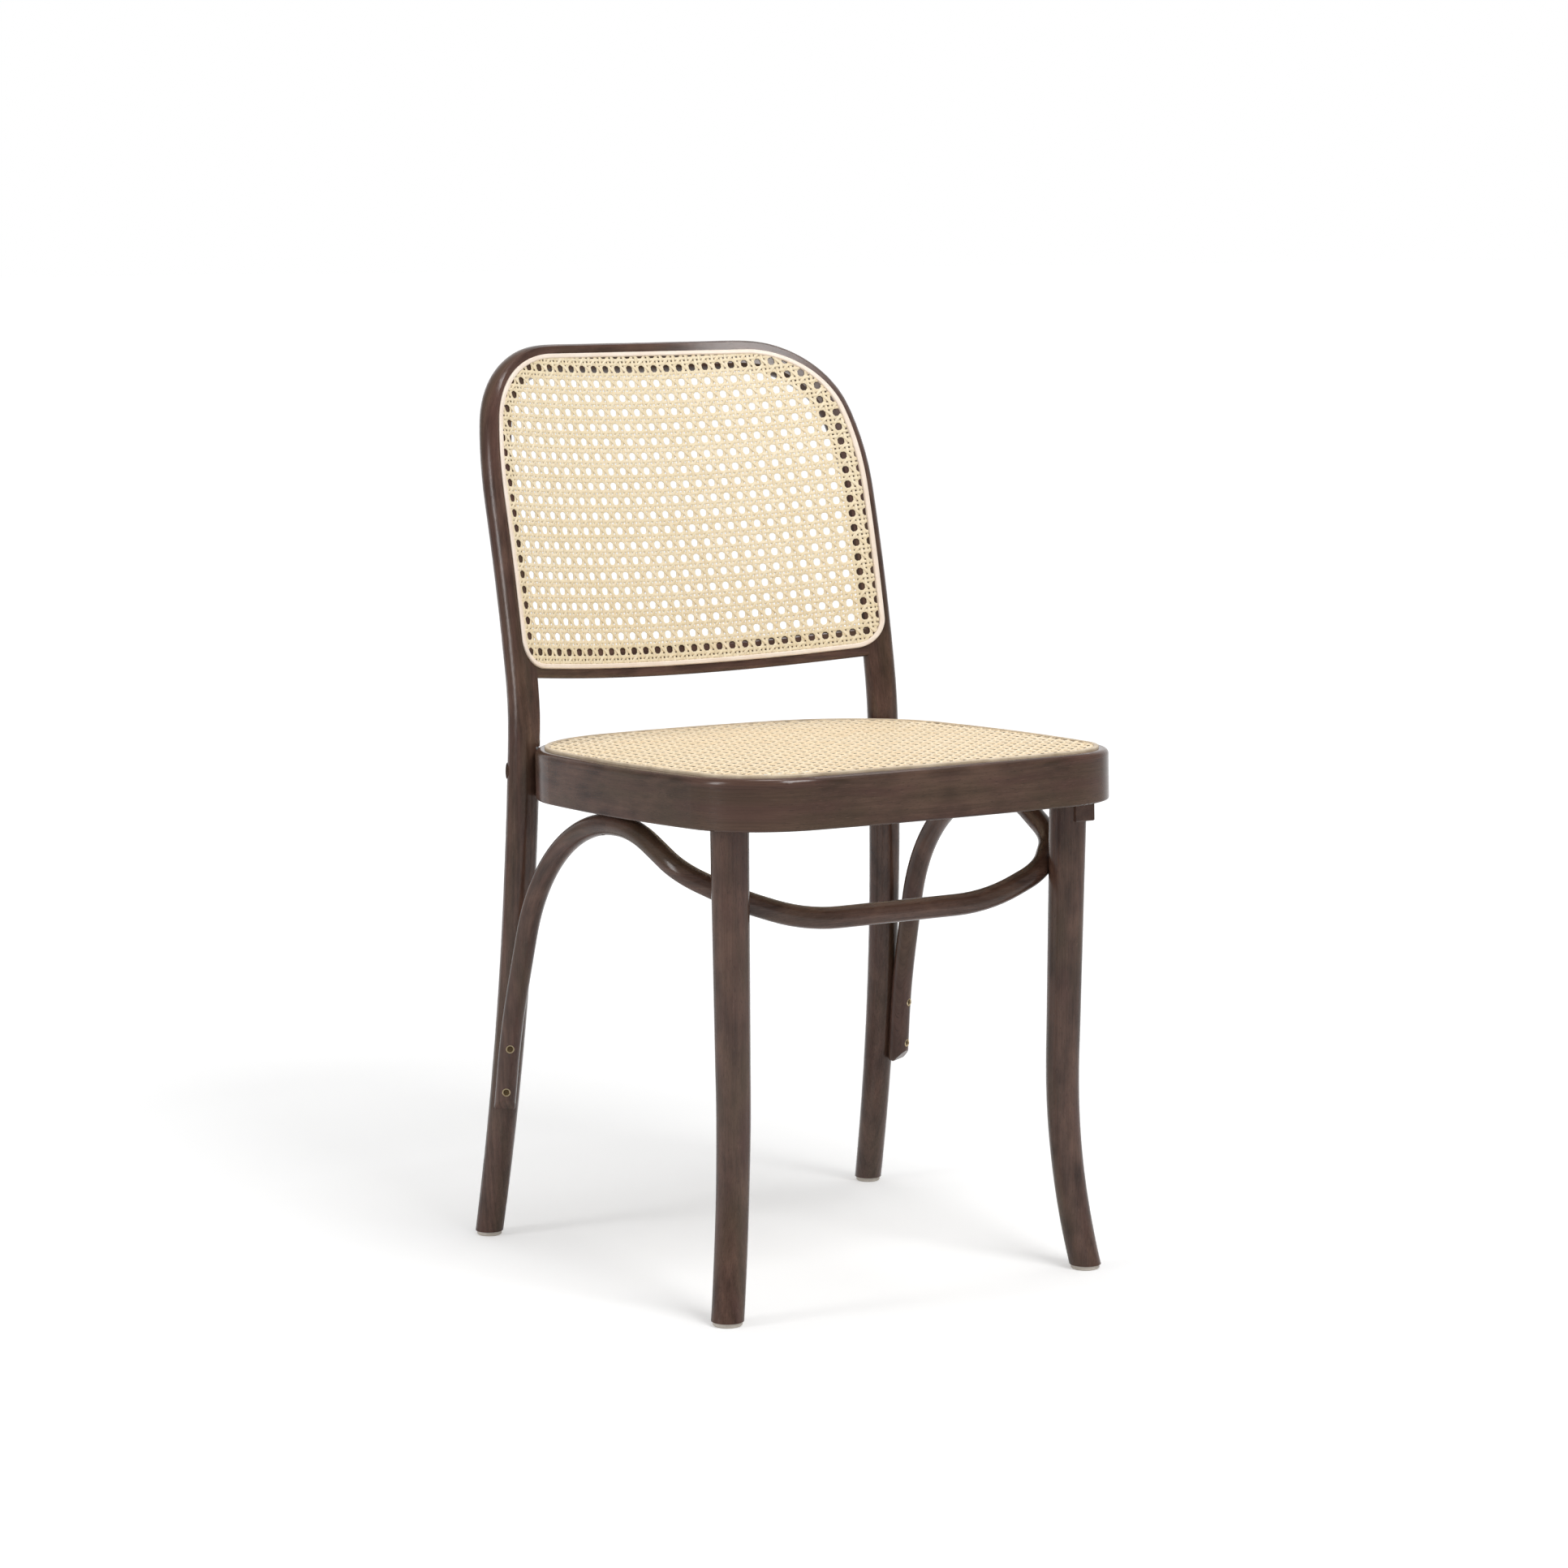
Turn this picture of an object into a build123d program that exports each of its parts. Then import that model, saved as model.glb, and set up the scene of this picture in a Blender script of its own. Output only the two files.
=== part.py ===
"""Bentwood dining chair with a woven cane seat and back, built as separate joined pieces."""

import os
from collections import namedtuple
from math import asin, cos, degrees, pi, radians, sin, sqrt, tan

from build123d import *

os.makedirs("parts", exist_ok=True)

# Driving dimensions in millimetres, angles in degrees.
# The origin is on the floor under the middle of the chair, +Z is up and the front faces -Y.

# Seat ring, measured in its own plane, which is lower at the rear
seat_tilt = 2.0
seat_bottom_height = 417.1
seat_ring_height = 44.5
seat_ring_width = 34.0
seat_front = -272.6
seat_depth = 448.5
seat_corner_half_width = 198.5
seat_front_bow = 8.5
seat_side_bow = 17.7
seat_rear_bow = 25.5
seat_front_corner_radius = 83.0
seat_rear_corner_radius = 136.0
seat_top_edge_radius = 5.0
seat_bottom_edge_radius = 1.5
seat_inner_edge_radius = 2.0

# Woven cane, its open weave drawn as a wide grid, and the strip that holds it down in a groove
cane_thickness = 1.2
cane_opening_pitch = 32.0
cane_opening_diameter = 18.0
cane_opening_margin = 6.0
spline_width = 4.4
spline_depth = 5.5
spline_proud = 2.4
spline_edge_radius = 1.2
spline_clearance = 0.05
seat_rim = 8.5

# Rear legs and the arch over the back, one bent limb: insets from the ring's rear corner, rises over
# the ring's underside
limb_diameter = 29.0
limb_foot_diameter = 25.4
limb_taper_height = 345.0
limb_side_inset = 7.5
limb_rear_inset = 47.2
limb_splay = 1.91
limb_splay_rise = 84.9
limb_curve_radius = 2000.0
limb_curve_rise = 16.9
limb_bend_rise = 37.9
limb_bend_radius = 345.0
limb_flat_depth = 4.2

# Back, bowed across and curved in its height
back_lean = 10.5
back_curve_radius = 1640.0
back_bow = 43.0
back_mid_rise = 150.0
back_arch_rise = 302.0
back_crown_radius = 1800.0
back_crown_turn = 3.3
back_shoulder_radius = 330.0
back_shoulder_turn = 13.0
back_spline_outset = 7.8
back_spline_top_outset = 3.4
back_spline_bottom_radius = 26.0

# Lower rail of the back
rail_height = 28.0
rail_depth = 20.0
rail_drop = 2.0
rail_spline_margin = 9.3
rail_edge_radius = 3.0

# Front legs: insets from the ring's front corner
front_leg_head_diameter = 33.0
front_leg_foot_diameter = 28.4
front_leg_taper_height = 100.0
front_leg_head_inset = 24.5
front_leg_knee_inset = 27.9
front_leg_front_inset = 73.0
front_leg_knee_height = 182.0
front_leg_flare = 23.0
tenon_diameter = 20.0
tenon_length = 30.0
tenon_clearance = 0.1

# Blocks inside the ring that carry the tenons, and the block at one leg head
corner_block_reach = 30.0
corner_block_length = 80.0
corner_block_turn = 45.0
corner_block_height = 36.0
leg_block_width = 20.0
leg_block_depth = 20.0
leg_block_height = 21.0
leg_block_front_wall = 2.1
leg_block_offset = 4.9
leg_block_edge = 0.8

# Brace, one bent rod: drops below the top of its arch, out and forward of the rear leg for its lower end
# and knee, out from the ring's corner for the arch, out and back from the front leg for the rest
brace_diameter = 19.2
brace_bite = 0.4
brace_end_drop = 283.1
brace_end_out = 10.0
brace_end_forward = 20.2
brace_rear_knee_drop = 207.4
brace_rear_knee_out = 10.0
brace_rear_knee_forward = 19.3
brace_arch_rear_out = 4.0
brace_arch_rear_forward = 62.3
brace_arch_front_out = 0.1
brace_arch_front_back = 115.0
brace_arch_straight = 3.0
brace_side_corner_drop = 29.1
brace_side_corner_out = 22.3
brace_side_corner_back = 51.0
brace_front_corner_drop = 51.1
brace_front_corner_in = 14.6
brace_front_corner_back = 14.1
brace_dip_drop = 73.1
brace_dip_in = 77.1
brace_dip_back = 7.6
brace_rear_knee_radius = 550.0
brace_arch_rear_radius = 162.0
brace_arch_front_radius = 110.0
brace_side_corner_radius = 63.0
brace_front_corner_radius = 63.0
brace_dip_radius = 190.0
brace_end_bevel = 9.0
brace_end_edge_radius = 2.0

# Screws through the lower ends of the brace into the rear legs, in cups: rises over the brace's end
brace_screw_rises = (58.0, 17.5)
brace_screw_diameter = 3.6
brace_screw_length = 36.0
brace_screw_head_diameter = 5.0
brace_screw_head_height = 2.0
brace_screw_head_sink = 0.9
cup_diameter = 7.6
cup_mouth_diameter = 6.0
cup_height = 3.2
cup_rim_height = 0.6
cup_sink = 0.6
cup_reach = 4.0
brace_screw_dome = 0.4
slot_width = 0.9
slot_depth = 0.8
screw_clearance = 0.05

# Screws from the brace into the ring and into the front legs
hidden_screw_diameter = 4.4
hidden_screw_head_diameter = 8.4
hidden_screw_head_height = 3.0
hidden_screw_head_recess = 4.0
seat_screw_back = 50.0
seat_screw_length = 40.0
leg_screw_length = 34.0

# Bolts that hold the rear legs to the ring
bolt_diameter = 6.0
bolt_head_diameter = 15.0
bolt_head_height = 3.6
bolt_recess = 3.0
bolt_clearance = 0.1
washer_diameter = 18.0
washer_thickness = 1.6
washer_recess = 1.6
nut_width = 10.0
nut_thickness = 5.0
bolt_tail = 3.0

# Dowels between the rail and the limbs
dowel_diameter = 8.0
dowel_length = 34.0
dowel_spacing = 13.0
dowel_edge = 0.6
dowel_clearance = 0.05

# Glides under the feet
glide_height = 4.0
glide_inset = 1.4
glide_edge = 1.0
nail_diameter = 2.6
nail_length = 20.0
nail_head_diameter = 7.0
nail_head_height = 1.2
nail_recess = 1.0
nail_clearance = 0.05

# Sections along the bent pieces, and how far the cutting shapes reach past them
limb_count = 17
arch_count = 18
leg_count = 12
tangent_step = 0.5
back_slab_reach = 215.0
back_slab_half_width = 235.0
back_cut_height = 60.0
rail_cut_depth = 300.0
brace_steps = 2000
brace_rear_share = 0.3
corner_tolerance = 0.1

# Planes and centre lines

Foot = namedtuple("Foot", "origin radius")

seat_plane = Plane(
    origin=(0, 0, seat_bottom_height),
    x_dir=(1, 0, 0),
    z_dir=(0, sin(radians(seat_tilt)), cos(radians(seat_tilt))),
)
seat_top_plane = seat_plane.offset(seat_ring_height)

front_leg_head_x = seat_corner_half_width - front_leg_head_inset
front_leg_knee_x = seat_corner_half_width - front_leg_knee_inset
front_leg_y = seat_front + front_leg_front_inset
limb_half_width = seat_corner_half_width - limb_side_inset
limb_seat_y = seat_front + seat_depth - limb_rear_inset
limb_splay_height = seat_bottom_height + limb_splay_rise
limb_curve_height = seat_bottom_height + limb_curve_rise
limb_bend_height = seat_bottom_height + limb_bend_rise


def seat_bottom_at(y):
    """Height of the ring's underside at a distance from the front or rear."""
    return seat_bottom_height - y * tan(radians(seat_tilt))


def front_leg_centre(z):
    """Centre of the right front leg at a height: upright, with the foot curved out to the corner."""
    rise = max(z - front_leg_knee_height, 0) / (seat_bottom_height - front_leg_knee_height)
    drop = max(front_leg_knee_height - z, 0) / front_leg_knee_height
    out = front_leg_flare * drop**2 / sqrt(2)
    x = front_leg_knee_x + (front_leg_head_x - front_leg_knee_x) * rise
    return Vector(x + out, front_leg_y - out, z)


def front_leg_radius(z):
    """Radius of a front leg at a height, thicker towards the seat."""
    share = max(z - front_leg_taper_height, 0) / (seat_bottom_height - front_leg_taper_height)
    return (front_leg_foot_diameter + (front_leg_head_diameter - front_leg_foot_diameter) * share) / 2


def limb_centre(z):
    """Centre of the right rear leg at a height below the back."""
    x = limb_half_width + max(limb_splay_height - z, 0) * tan(radians(limb_splay))
    low = max(limb_curve_height - z, 0)
    high = max(z - limb_bend_height, 0)
    y = limb_seat_y + limb_curve_radius - sqrt(limb_curve_radius**2 - low**2)
    return Vector(x, y + limb_bend_radius - sqrt(limb_bend_radius**2 - high**2), z)


def limb_radius(z):
    """Radius of a rear leg at a height, thinner towards the foot."""
    share = min(z / limb_taper_height, 1)
    return (limb_foot_diameter + (limb_diameter - limb_foot_diameter) * share) / 2


back_low_height = limb_bend_height + limb_bend_radius * sin(radians(back_lean))
back_low = limb_centre(back_low_height)
back_mid_lean = radians(back_lean) + back_mid_rise / back_curve_radius
back_mid = Vector(
    0,
    back_low.Y + back_curve_radius * (cos(radians(back_lean)) - cos(back_mid_lean)),
    back_low.Z + back_curve_radius * (sin(back_mid_lean) - sin(radians(back_lean))),
)
back_forward = Vector(0, -cos(back_mid_lean), sin(back_mid_lean))
back_plane = Plane(origin=back_mid, x_dir=(1, 0, 0), z_dir=back_forward)
back_axis = Axis(back_mid - back_forward * back_curve_radius, (-1, 0, 0))
back_bow_radius = (limb_half_width**2 + back_bow**2) / (2 * back_bow)
back_bow_centre = back_bow_radius - back_bow
back_side_turn = asin(limb_half_width / back_bow_radius)
back_low_v = -back_curve_radius * sin(back_mid_rise / back_curve_radius)
back_arch_v = back_low_v + back_arch_rise
back_land = limb_diameter / 2 - limb_flat_depth


def back_point(x, v, height=0):
    """Point over the back plane, at a height in front of the limb's middle surface, which is bowed."""
    bow = sqrt((back_bow_radius - height) ** 2 - x**2) - back_bow_centre
    depth = sqrt((back_curve_radius - bow) ** 2 - v**2) - back_curve_radius
    return back_plane.from_local_coords(Vector(x, v, depth))


crown_end = radians(back_crown_turn)
corner_end = radians(90 - back_shoulder_turn)
back_corner_radius = (
    limb_half_width
    - back_crown_radius * sin(crown_end)
    - back_shoulder_radius * (1 - sin(corner_end))
) / (sin(corner_end) - sin(crown_end))
arch_arcs = [
    (back_crown_radius, 0, crown_end),
    (back_corner_radius, crown_end, corner_end),
    (back_shoulder_radius, corner_end, pi / 2),
]


def arch_arc_point(start, radius, first, turn):
    """Point of an arc of the arch that turns from one heading to another, from its start."""
    return start + Vector(radius * (sin(turn) - sin(first)), radius * (cos(turn) - cos(first)))


def arch_outline_arcs(top, inset):
    """Start, middle and end of each arc of the arch's right half, drawn in by an inset."""
    start = Vector(0, top - inset)
    arcs = []
    for radius, first, last in arch_arcs:
        middle = arch_arc_point(start, radius - inset, first, (first + last) / 2)
        end = arch_arc_point(start, radius - inset, first, last)
        arcs.append((start, middle, end))
        start = end
    return arcs


arch_shoulder = arch_outline_arcs(back_arch_v, 0)[-1][2]
arch_upright = arch_shoulder.Y - back_low_v
arch_length = arch_upright + sum(radius * (last - first) for radius, first, last in arch_arcs)


def arch_centre(s):
    """Centre of the right half of the arch at a length up from the rail."""
    if s <= arch_upright:
        return back_point(limb_half_width, back_low_v + s)
    left = max(arch_length - s, 0)
    start = Vector(0, back_arch_v)
    for radius, first, last in arch_arcs:
        turn = first + left / radius
        if turn <= last:
            break
        left -= radius * (last - first)
        start = arch_arc_point(start, radius, first, last)
    point = arch_arc_point(start, radius, first, min(turn, last))
    return back_point(point.X, point.Y)


def back_slab(low, high):
    """Bowed and curved layer over the back, between two heights in front of the limb's middle surface."""
    start = back_mid_lean - back_slab_reach / back_curve_radius
    forward = Vector(0, -cos(start), sin(start))
    section_plane = Plane(
        origin=back_axis.position + forward * back_curve_radius,
        x_dir=(1, 0, 0),
        z_dir=(0, -sin(start), -cos(start)),
    )
    with BuildPart() as slab:
        with BuildSketch(section_plane):
            with Locations((0, back_bow_centre)):
                Circle(back_bow_radius - low)
                Circle(back_bow_radius - high, mode=Mode.SUBTRACT)
            with Locations((0, back_bow_centre)):
                Rectangle(
                    2 * back_slab_half_width,
                    back_bow_radius + back_slab_reach,
                    align=(Align.CENTER, Align.MAX),
                    mode=Mode.INTERSECT,
                )
        revolve(axis=back_axis, revolution_arc=degrees(2 * back_slab_reach / back_curve_radius))
    return slab.part


def is_corner(vertex, x, y):
    """Whether a point of an outline is one of its corners, on the left or the right."""
    return abs(abs(vertex.X) - x) + abs(vertex.Y - y) < corner_tolerance


def back_outline(inset):
    """Outline of the strip round the back cane, drawn in by an inset from its outer edge."""
    side = back_spline_half_width - inset
    bottom = back_spline_bottom + inset
    arcs = arch_outline_arcs(back_arch_v, inset + limb_half_width - back_spline_half_width)
    rise = back_spline_top - back_arch_v + limb_half_width - back_spline_half_width
    with BuildSketch() as outline:
        with BuildLine():
            for start, middle, end in arcs:
                lift = Vector(0, rise)
                ThreePointArc(start + lift, middle + lift, end + lift)
            shoulder = arcs[-1][2] + lift
            Line((shoulder.X, shoulder.Y), (side, bottom))
            Line((side, bottom), (0, bottom))
            mirror(about=Plane.YZ)
        make_face()
        lower = outline.vertices().filter_by(lambda v: is_corner(v, side, bottom))
        fillet(lower, back_spline_bottom_radius - inset)
    return outline.sketch


rail_bottom = back_low_v - rail_drop
rail_top = rail_bottom + rail_height
back_spline_half_width = (
    limb_half_width + back_spline_outset * cos(back_side_turn) - back_land * sin(back_side_turn)
)
back_spline_top = back_arch_v + back_spline_top_outset
back_spline_bottom = rail_bottom + rail_spline_margin


def meeting(first, second, near):
    """Crossing of two arcs, each a centre and a radius, that lies nearest to a point."""
    span = second[0] - first[0]
    along = (first[1] ** 2 - second[1] ** 2 + span.length**2) / (2 * span.length)
    aside = sqrt(first[1] ** 2 - along**2)
    foot = first[0] + span.normalized() * along
    across = Vector(-span.Y, span.X).normalized() * aside
    return min((foot + across, foot - across), key=lambda point: (point - near).length)


seat_corner_front = seat_front + seat_front_bow
seat_corner_rear = seat_front + seat_depth - seat_rear_bow
seat_side_middle = (seat_corner_front + seat_corner_rear) / 2
seat_half_side = (seat_corner_rear - seat_corner_front) / 2
seat_front_bow_radius = (seat_corner_half_width**2 + seat_front_bow**2) / (2 * seat_front_bow)
seat_rear_bow_radius = (seat_corner_half_width**2 + seat_rear_bow**2) / (2 * seat_rear_bow)
seat_side_bow_radius = (seat_half_side**2 + seat_side_bow**2) / (2 * seat_side_bow)


def seat_outline(inset):
    """Outline of the seat ring in its plane, drawn in by an inset from its outer edge."""
    half_width = seat_corner_half_width + seat_side_bow - inset
    front_arc = (Vector(0, seat_front + seat_front_bow_radius), seat_front_bow_radius - inset)
    rear_arc = (Vector(0, seat_front + seat_depth - seat_rear_bow_radius), seat_rear_bow_radius - inset)
    side_radius = seat_side_bow_radius - inset
    side_arc = (Vector(half_width - side_radius, seat_side_middle), side_radius)
    front = meeting(front_arc, side_arc, Vector(seat_corner_half_width, seat_corner_front))
    rear = meeting(rear_arc, side_arc, Vector(seat_corner_half_width, seat_corner_rear))
    with BuildSketch() as outline:
        with BuildLine():
            ThreePointArc((-front.X, front.Y), (0, seat_front + inset), (front.X, front.Y))
            ThreePointArc((front.X, front.Y), (half_width, seat_side_middle), (rear.X, rear.Y))
            ThreePointArc((rear.X, rear.Y), (0, seat_front + seat_depth - inset), (-rear.X, rear.Y))
            ThreePointArc((-rear.X, rear.Y), (-half_width, seat_side_middle), (-front.X, front.Y))
        make_face()
        front_corners = outline.vertices().filter_by(lambda v: v.Y < seat_side_middle)
        fillet(front_corners, seat_front_corner_radius - inset)
        rear_corners = outline.vertices().filter_by(lambda v: is_corner(v, rear.X, rear.Y))
        fillet(rear_corners, seat_rear_corner_radius - inset)
    return outline.sketch


cane_opening_inset = cane_opening_margin + cane_opening_diameter / 2


def cane_openings(panel):
    """Grid of round openings whose middles lie in a panel."""
    box = panel.bounding_box()
    columns = 2 * int(box.size.X / 2 / cane_opening_pitch) + 1
    rows = 2 * int(box.size.Y / 2 / cane_opening_pitch) + 1
    grid = Pos(box.center()) * GridLocations(cane_opening_pitch, cane_opening_pitch, columns, rows)
    with BuildSketch() as openings:
        with Locations(*[place for place in grid if panel.face().is_inside(place.position)]):
            Circle(cane_opening_diameter / 2)
    return openings.sketch


def revolved(profile, plane):
    """Round piece on a plane's own axis, from (radius, height) points."""
    with BuildPart() as piece:
        with BuildSketch(Plane.XZ):
            with BuildLine():
                Polyline(*profile, close=True)
            make_face()
        revolve(axis=Axis.Z)
    return plane * piece.part


ring_outline = seat_outline(0)
ring_inner_outline = seat_outline(seat_ring_width)
seat_groove_outer = seat_outline(seat_rim - spline_clearance)
seat_groove_inner = seat_outline(seat_rim + spline_width + spline_clearance)
seat_openings = cane_openings(seat_outline(seat_rim + spline_width + cane_opening_inset))
back_openings = cane_openings(back_outline(spline_width + cane_opening_inset))

# Joints: where each screw, bolt, dowel and tenon runs

seat_head = front_leg_centre(seat_bottom_at(front_leg_y))
seat_head_local = seat_plane.to_local_coords(seat_head)

rear_corner = [
    edge
    for edge in ring_outline.edges().filter_by(GeomType.CIRCLE)
    if abs(edge.radius - seat_rear_corner_radius) < corner_tolerance and edge.center().X > 0
][0]
rear_corner_centre = seat_plane.from_local_coords(rear_corner.arc_center)
bolt_height = seat_bottom_at(limb_seat_y) + seat_ring_height / 2
bolt_limb = limb_centre(bolt_height)
bolt_run = Vector(rear_corner_centre.X - bolt_limb.X, rear_corner_centre.Y - bolt_limb.Y, 0)
bolt_plane = Plane(origin=bolt_limb, z_dir=bolt_run)
bolt_seat = -limb_diameter / 2 + bolt_recess
washer_seat = bolt_run.length - seat_rear_corner_radius + seat_ring_width - washer_recess
bolt_end = washer_seat + washer_thickness + nut_thickness + bolt_tail

brace_arch_front_y = front_leg_y + brace_arch_front_back
seat_screw_y = brace_arch_front_y + seat_screw_back
brace_top = seat_bottom_at(seat_screw_y) - brace_diameter / 2 + brace_bite


def beside_limb(out, forward, drop):
    """Point out and forward of the right rear leg, below the top of the brace."""
    return limb_centre(brace_top - drop) + Vector(out, -forward)


def behind_front_leg(out, back, drop):
    """Point out and back from the right front leg, below the top of the brace."""
    return Vector(front_leg_knee_x + out, front_leg_y + back, brace_top - drop)


def bend_share(before, corner, after):
    """Length of each run that a bend of unit radius takes up at a corner."""
    return tan(radians((corner - before).get_angle(after - corner)) / 2)


brace_end = beside_limb(brace_end_out, brace_end_forward, brace_end_drop)
brace_rear_knee = beside_limb(brace_rear_knee_out, brace_rear_knee_forward, brace_rear_knee_drop)
brace_arch_rear = Vector(
    seat_corner_half_width + brace_arch_rear_out, limb_seat_y - brace_arch_rear_forward, brace_top
)
brace_arch_front = Vector(seat_corner_half_width + brace_arch_front_out, brace_arch_front_y, brace_top)
brace_side_corner = behind_front_leg(
    brace_side_corner_out, brace_side_corner_back, brace_side_corner_drop
)
brace_front_corner = behind_front_leg(
    -brace_front_corner_in, brace_front_corner_back, brace_front_corner_drop
)
brace_dip = behind_front_leg(-brace_dip_in, brace_dip_back, brace_dip_drop)

# The rear bend of the arch has the run that the front bend leaves
arch_front_share = bend_share(brace_arch_rear, brace_arch_front, brace_side_corner)
arch_rear_share = bend_share(brace_rear_knee, brace_arch_rear, brace_arch_front)
arch_room = (brace_arch_front - brace_arch_rear).length - brace_arch_straight
arch_room -= brace_arch_front_radius * arch_front_share

with BuildLine() as brace_line:
    FilletPolyline(
        brace_end,
        brace_rear_knee,
        brace_arch_rear,
        brace_arch_front,
        brace_side_corner,
        brace_front_corner,
        brace_dip,
        (0, brace_dip.Y, brace_dip.Z),
        radius=[
            brace_rear_knee_radius,
            min(brace_arch_rear_radius, arch_room / arch_rear_share),
            brace_arch_front_radius,
            brace_side_corner_radius,
            brace_front_corner_radius,
            brace_dip_radius,
        ],
    )
brace_wire = brace_line.wire()


brace_points = [brace_wire @ (step / brace_steps) for step in range(brace_steps + 1)]
brace_rear_points = brace_points[: round(brace_rear_share * brace_steps)]
brace_side_points = [point for point in brace_points if abs(point.Z - brace_top) < brace_diameter]


def leg_gap(point):
    """Level distance from a point to the centre of the right front leg."""
    leg_at = front_leg_centre(point.Z)
    return sqrt((leg_at.X - point.X) ** 2 + (leg_at.Y - point.Y) ** 2)


brace_screw_planes = []
for rise in brace_screw_rises:
    height = brace_end.Z + rise
    rod = min(brace_rear_points, key=lambda point: abs(point.Z - height))
    leg = limb_centre(height)
    inward = Vector(leg.X - rod.X, leg.Y - rod.Y, 0).normalized()
    brace_screw_planes.append(Plane(origin=rod - inward * (brace_diameter / 2 - cup_sink), z_dir=inward))

brace_end_leg = limb_centre(brace_end.Z)
brace_end_outward = Vector(brace_end.X - brace_end_leg.X, brace_end.Y - brace_end_leg.Y, 0).normalized()
brace_bevel_plane = Plane(
    origin=brace_end + brace_end_outward * (brace_diameter / 2 - brace_end_bevel),
    z_dir=brace_end_outward - Vector(0, 0, 1),
)

brace_leg_point = min(brace_points, key=leg_gap)
brace_leg_target = front_leg_centre(brace_leg_point.Z)
brace_leg_inward = (brace_leg_target - brace_leg_point).normalized()
brace_leg_plane = Plane(
    origin=brace_leg_point - brace_leg_inward * (brace_diameter / 2), z_dir=brace_leg_inward
)

brace_seat_point = min(brace_side_points, key=lambda point: abs(point.Y - seat_screw_y))
brace_seat_plane = Plane(
    origin=brace_seat_point - seat_plane.z_dir * (brace_diameter / 2),
    x_dir=(1, 0, 0),
    z_dir=seat_plane.z_dir,
)

dowel_x = limb_half_width - limb_diameter / 2 * cos(back_side_turn)
dowel_turn = asin(dowel_x / back_bow_radius)
dowel_planes = []
for step in (-0.5, 0.5):
    dowel_v = (rail_bottom + rail_top) / 2 + step * dowel_spacing
    dowel_x_dir = back_plane.from_local_coords(Vector(cos(dowel_turn), 0, sin(dowel_turn))) - back_mid
    dowel_planes.append(Plane(origin=back_point(dowel_x, dowel_v), z_dir=dowel_x_dir))

glide_feet = {
    "front": Foot(front_leg_centre(glide_height), front_leg_radius(glide_height)),
    "rear": Foot(limb_centre(glide_height), limb_radius(glide_height)),
}

# Back loop, first as a plain round limb with the flat on its front

planing = back_slab(back_land, back_land + back_cut_height)
back_groove_layer = back_slab(back_land - spline_depth, back_land + back_cut_height)
back_spline_layer = back_slab(back_land - spline_depth, back_land + spline_proud)
back_cane_layer = back_slab(back_land, back_land + cane_thickness)
rail_layer = back_slab(back_land - rail_depth, back_land)

limb_rise = limb_bend_height - glide_height
limb_stations = [glide_height + limb_rise * i / limb_count for i in range(limb_count + 1)]
arch_stations = [arch_length * i / arch_count for i in range(arch_count)]

limb_planes = [Plane(limb_centre(z)) for z in limb_stations]
bend_mid = limb_centre((limb_bend_height + back_low_height) / 2)
bend_mid_lean = radians(back_lean) / 2
limb_planes.append(Plane(bend_mid, x_dir=(1, 0, 0), z_dir=(0, sin(bend_mid_lean), cos(bend_mid_lean))))
limb_radii = [limb_radius(z) for z in limb_stations] + [limb_diameter / 2]
for s in arch_stations:
    along = arch_centre(s + tangent_step) - arch_centre(max(s - tangent_step, 0))
    limb_planes.append(Plane(arch_centre(s), x_dir=along.cross(back_forward), z_dir=along))
    limb_radii.append(limb_diameter / 2)
limb_planes.append(Plane(arch_centre(arch_length), x_dir=back_plane.y_dir, z_dir=(-1, 0, 0)))
limb_radii.append(limb_diameter / 2)

with BuildPart() as limb_blank:
    for plane, radius in zip(limb_planes, limb_radii):
        with BuildSketch(plane):
            Circle(radius)
    loft()
    mirror(about=Plane.YZ)
    add(planing, mode=Mode.SUBTRACT)

# Front legs and the brace, before their joints are cut

front_leg_rise = seat_bottom_at(seat_front) - glide_height
front_leg_stations = [glide_height + front_leg_rise * i / leg_count for i in range(leg_count + 1)]
with BuildPart() as front_leg_blank:
    for z in front_leg_stations:
        with BuildSketch(Plane(front_leg_centre(z))):
            Circle(front_leg_radius(z))
    loft()
    split(bisect_by=seat_plane, keep=Keep.BOTTOM)

with BuildPart() as brace_blank:
    with BuildSketch(Plane(origin=brace_wire @ 0, z_dir=brace_wire % 0)):
        Circle(brace_diameter / 2)
    sweep(path=brace_wire)
    with BuildSketch(brace_bevel_plane):
        Rectangle(2 * brace_diameter, 2 * brace_diameter)
    extrude(amount=brace_diameter, mode=Mode.SUBTRACT)
    brace_end_faces = brace_blank.faces().filter_by(GeomType.PLANE).sort_by(Axis.Z)[:2]
    fillet(brace_end_faces.edges(), brace_end_edge_radius)
    split(bisect_by=seat_plane, keep=Keep.BOTTOM)

# Holes, made as solids a little larger than what goes into them

tenon_hole = revolved(
    [
        (0, 0),
        (tenon_diameter / 2 + tenon_clearance, 0),
        (tenon_diameter / 2 + tenon_clearance, tenon_length + tenon_clearance),
        (0, tenon_length + tenon_clearance),
    ],
    Plane(origin=seat_head, x_dir=(1, 0, 0), z_dir=seat_plane.z_dir),
)
cup_hole = [
    (0, -cup_reach),
    (cup_diameter / 2 + screw_clearance, -cup_reach),
    (cup_diameter / 2 + screw_clearance, 0),
    (brace_screw_diameter / 2 + screw_clearance, cup_height + screw_clearance),
    (brace_screw_diameter / 2 + screw_clearance, brace_screw_length + screw_clearance),
    (0, brace_screw_length + screw_clearance),
]
brace_screw_holes = [revolved(cup_hole, plane) for plane in brace_screw_planes]


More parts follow.
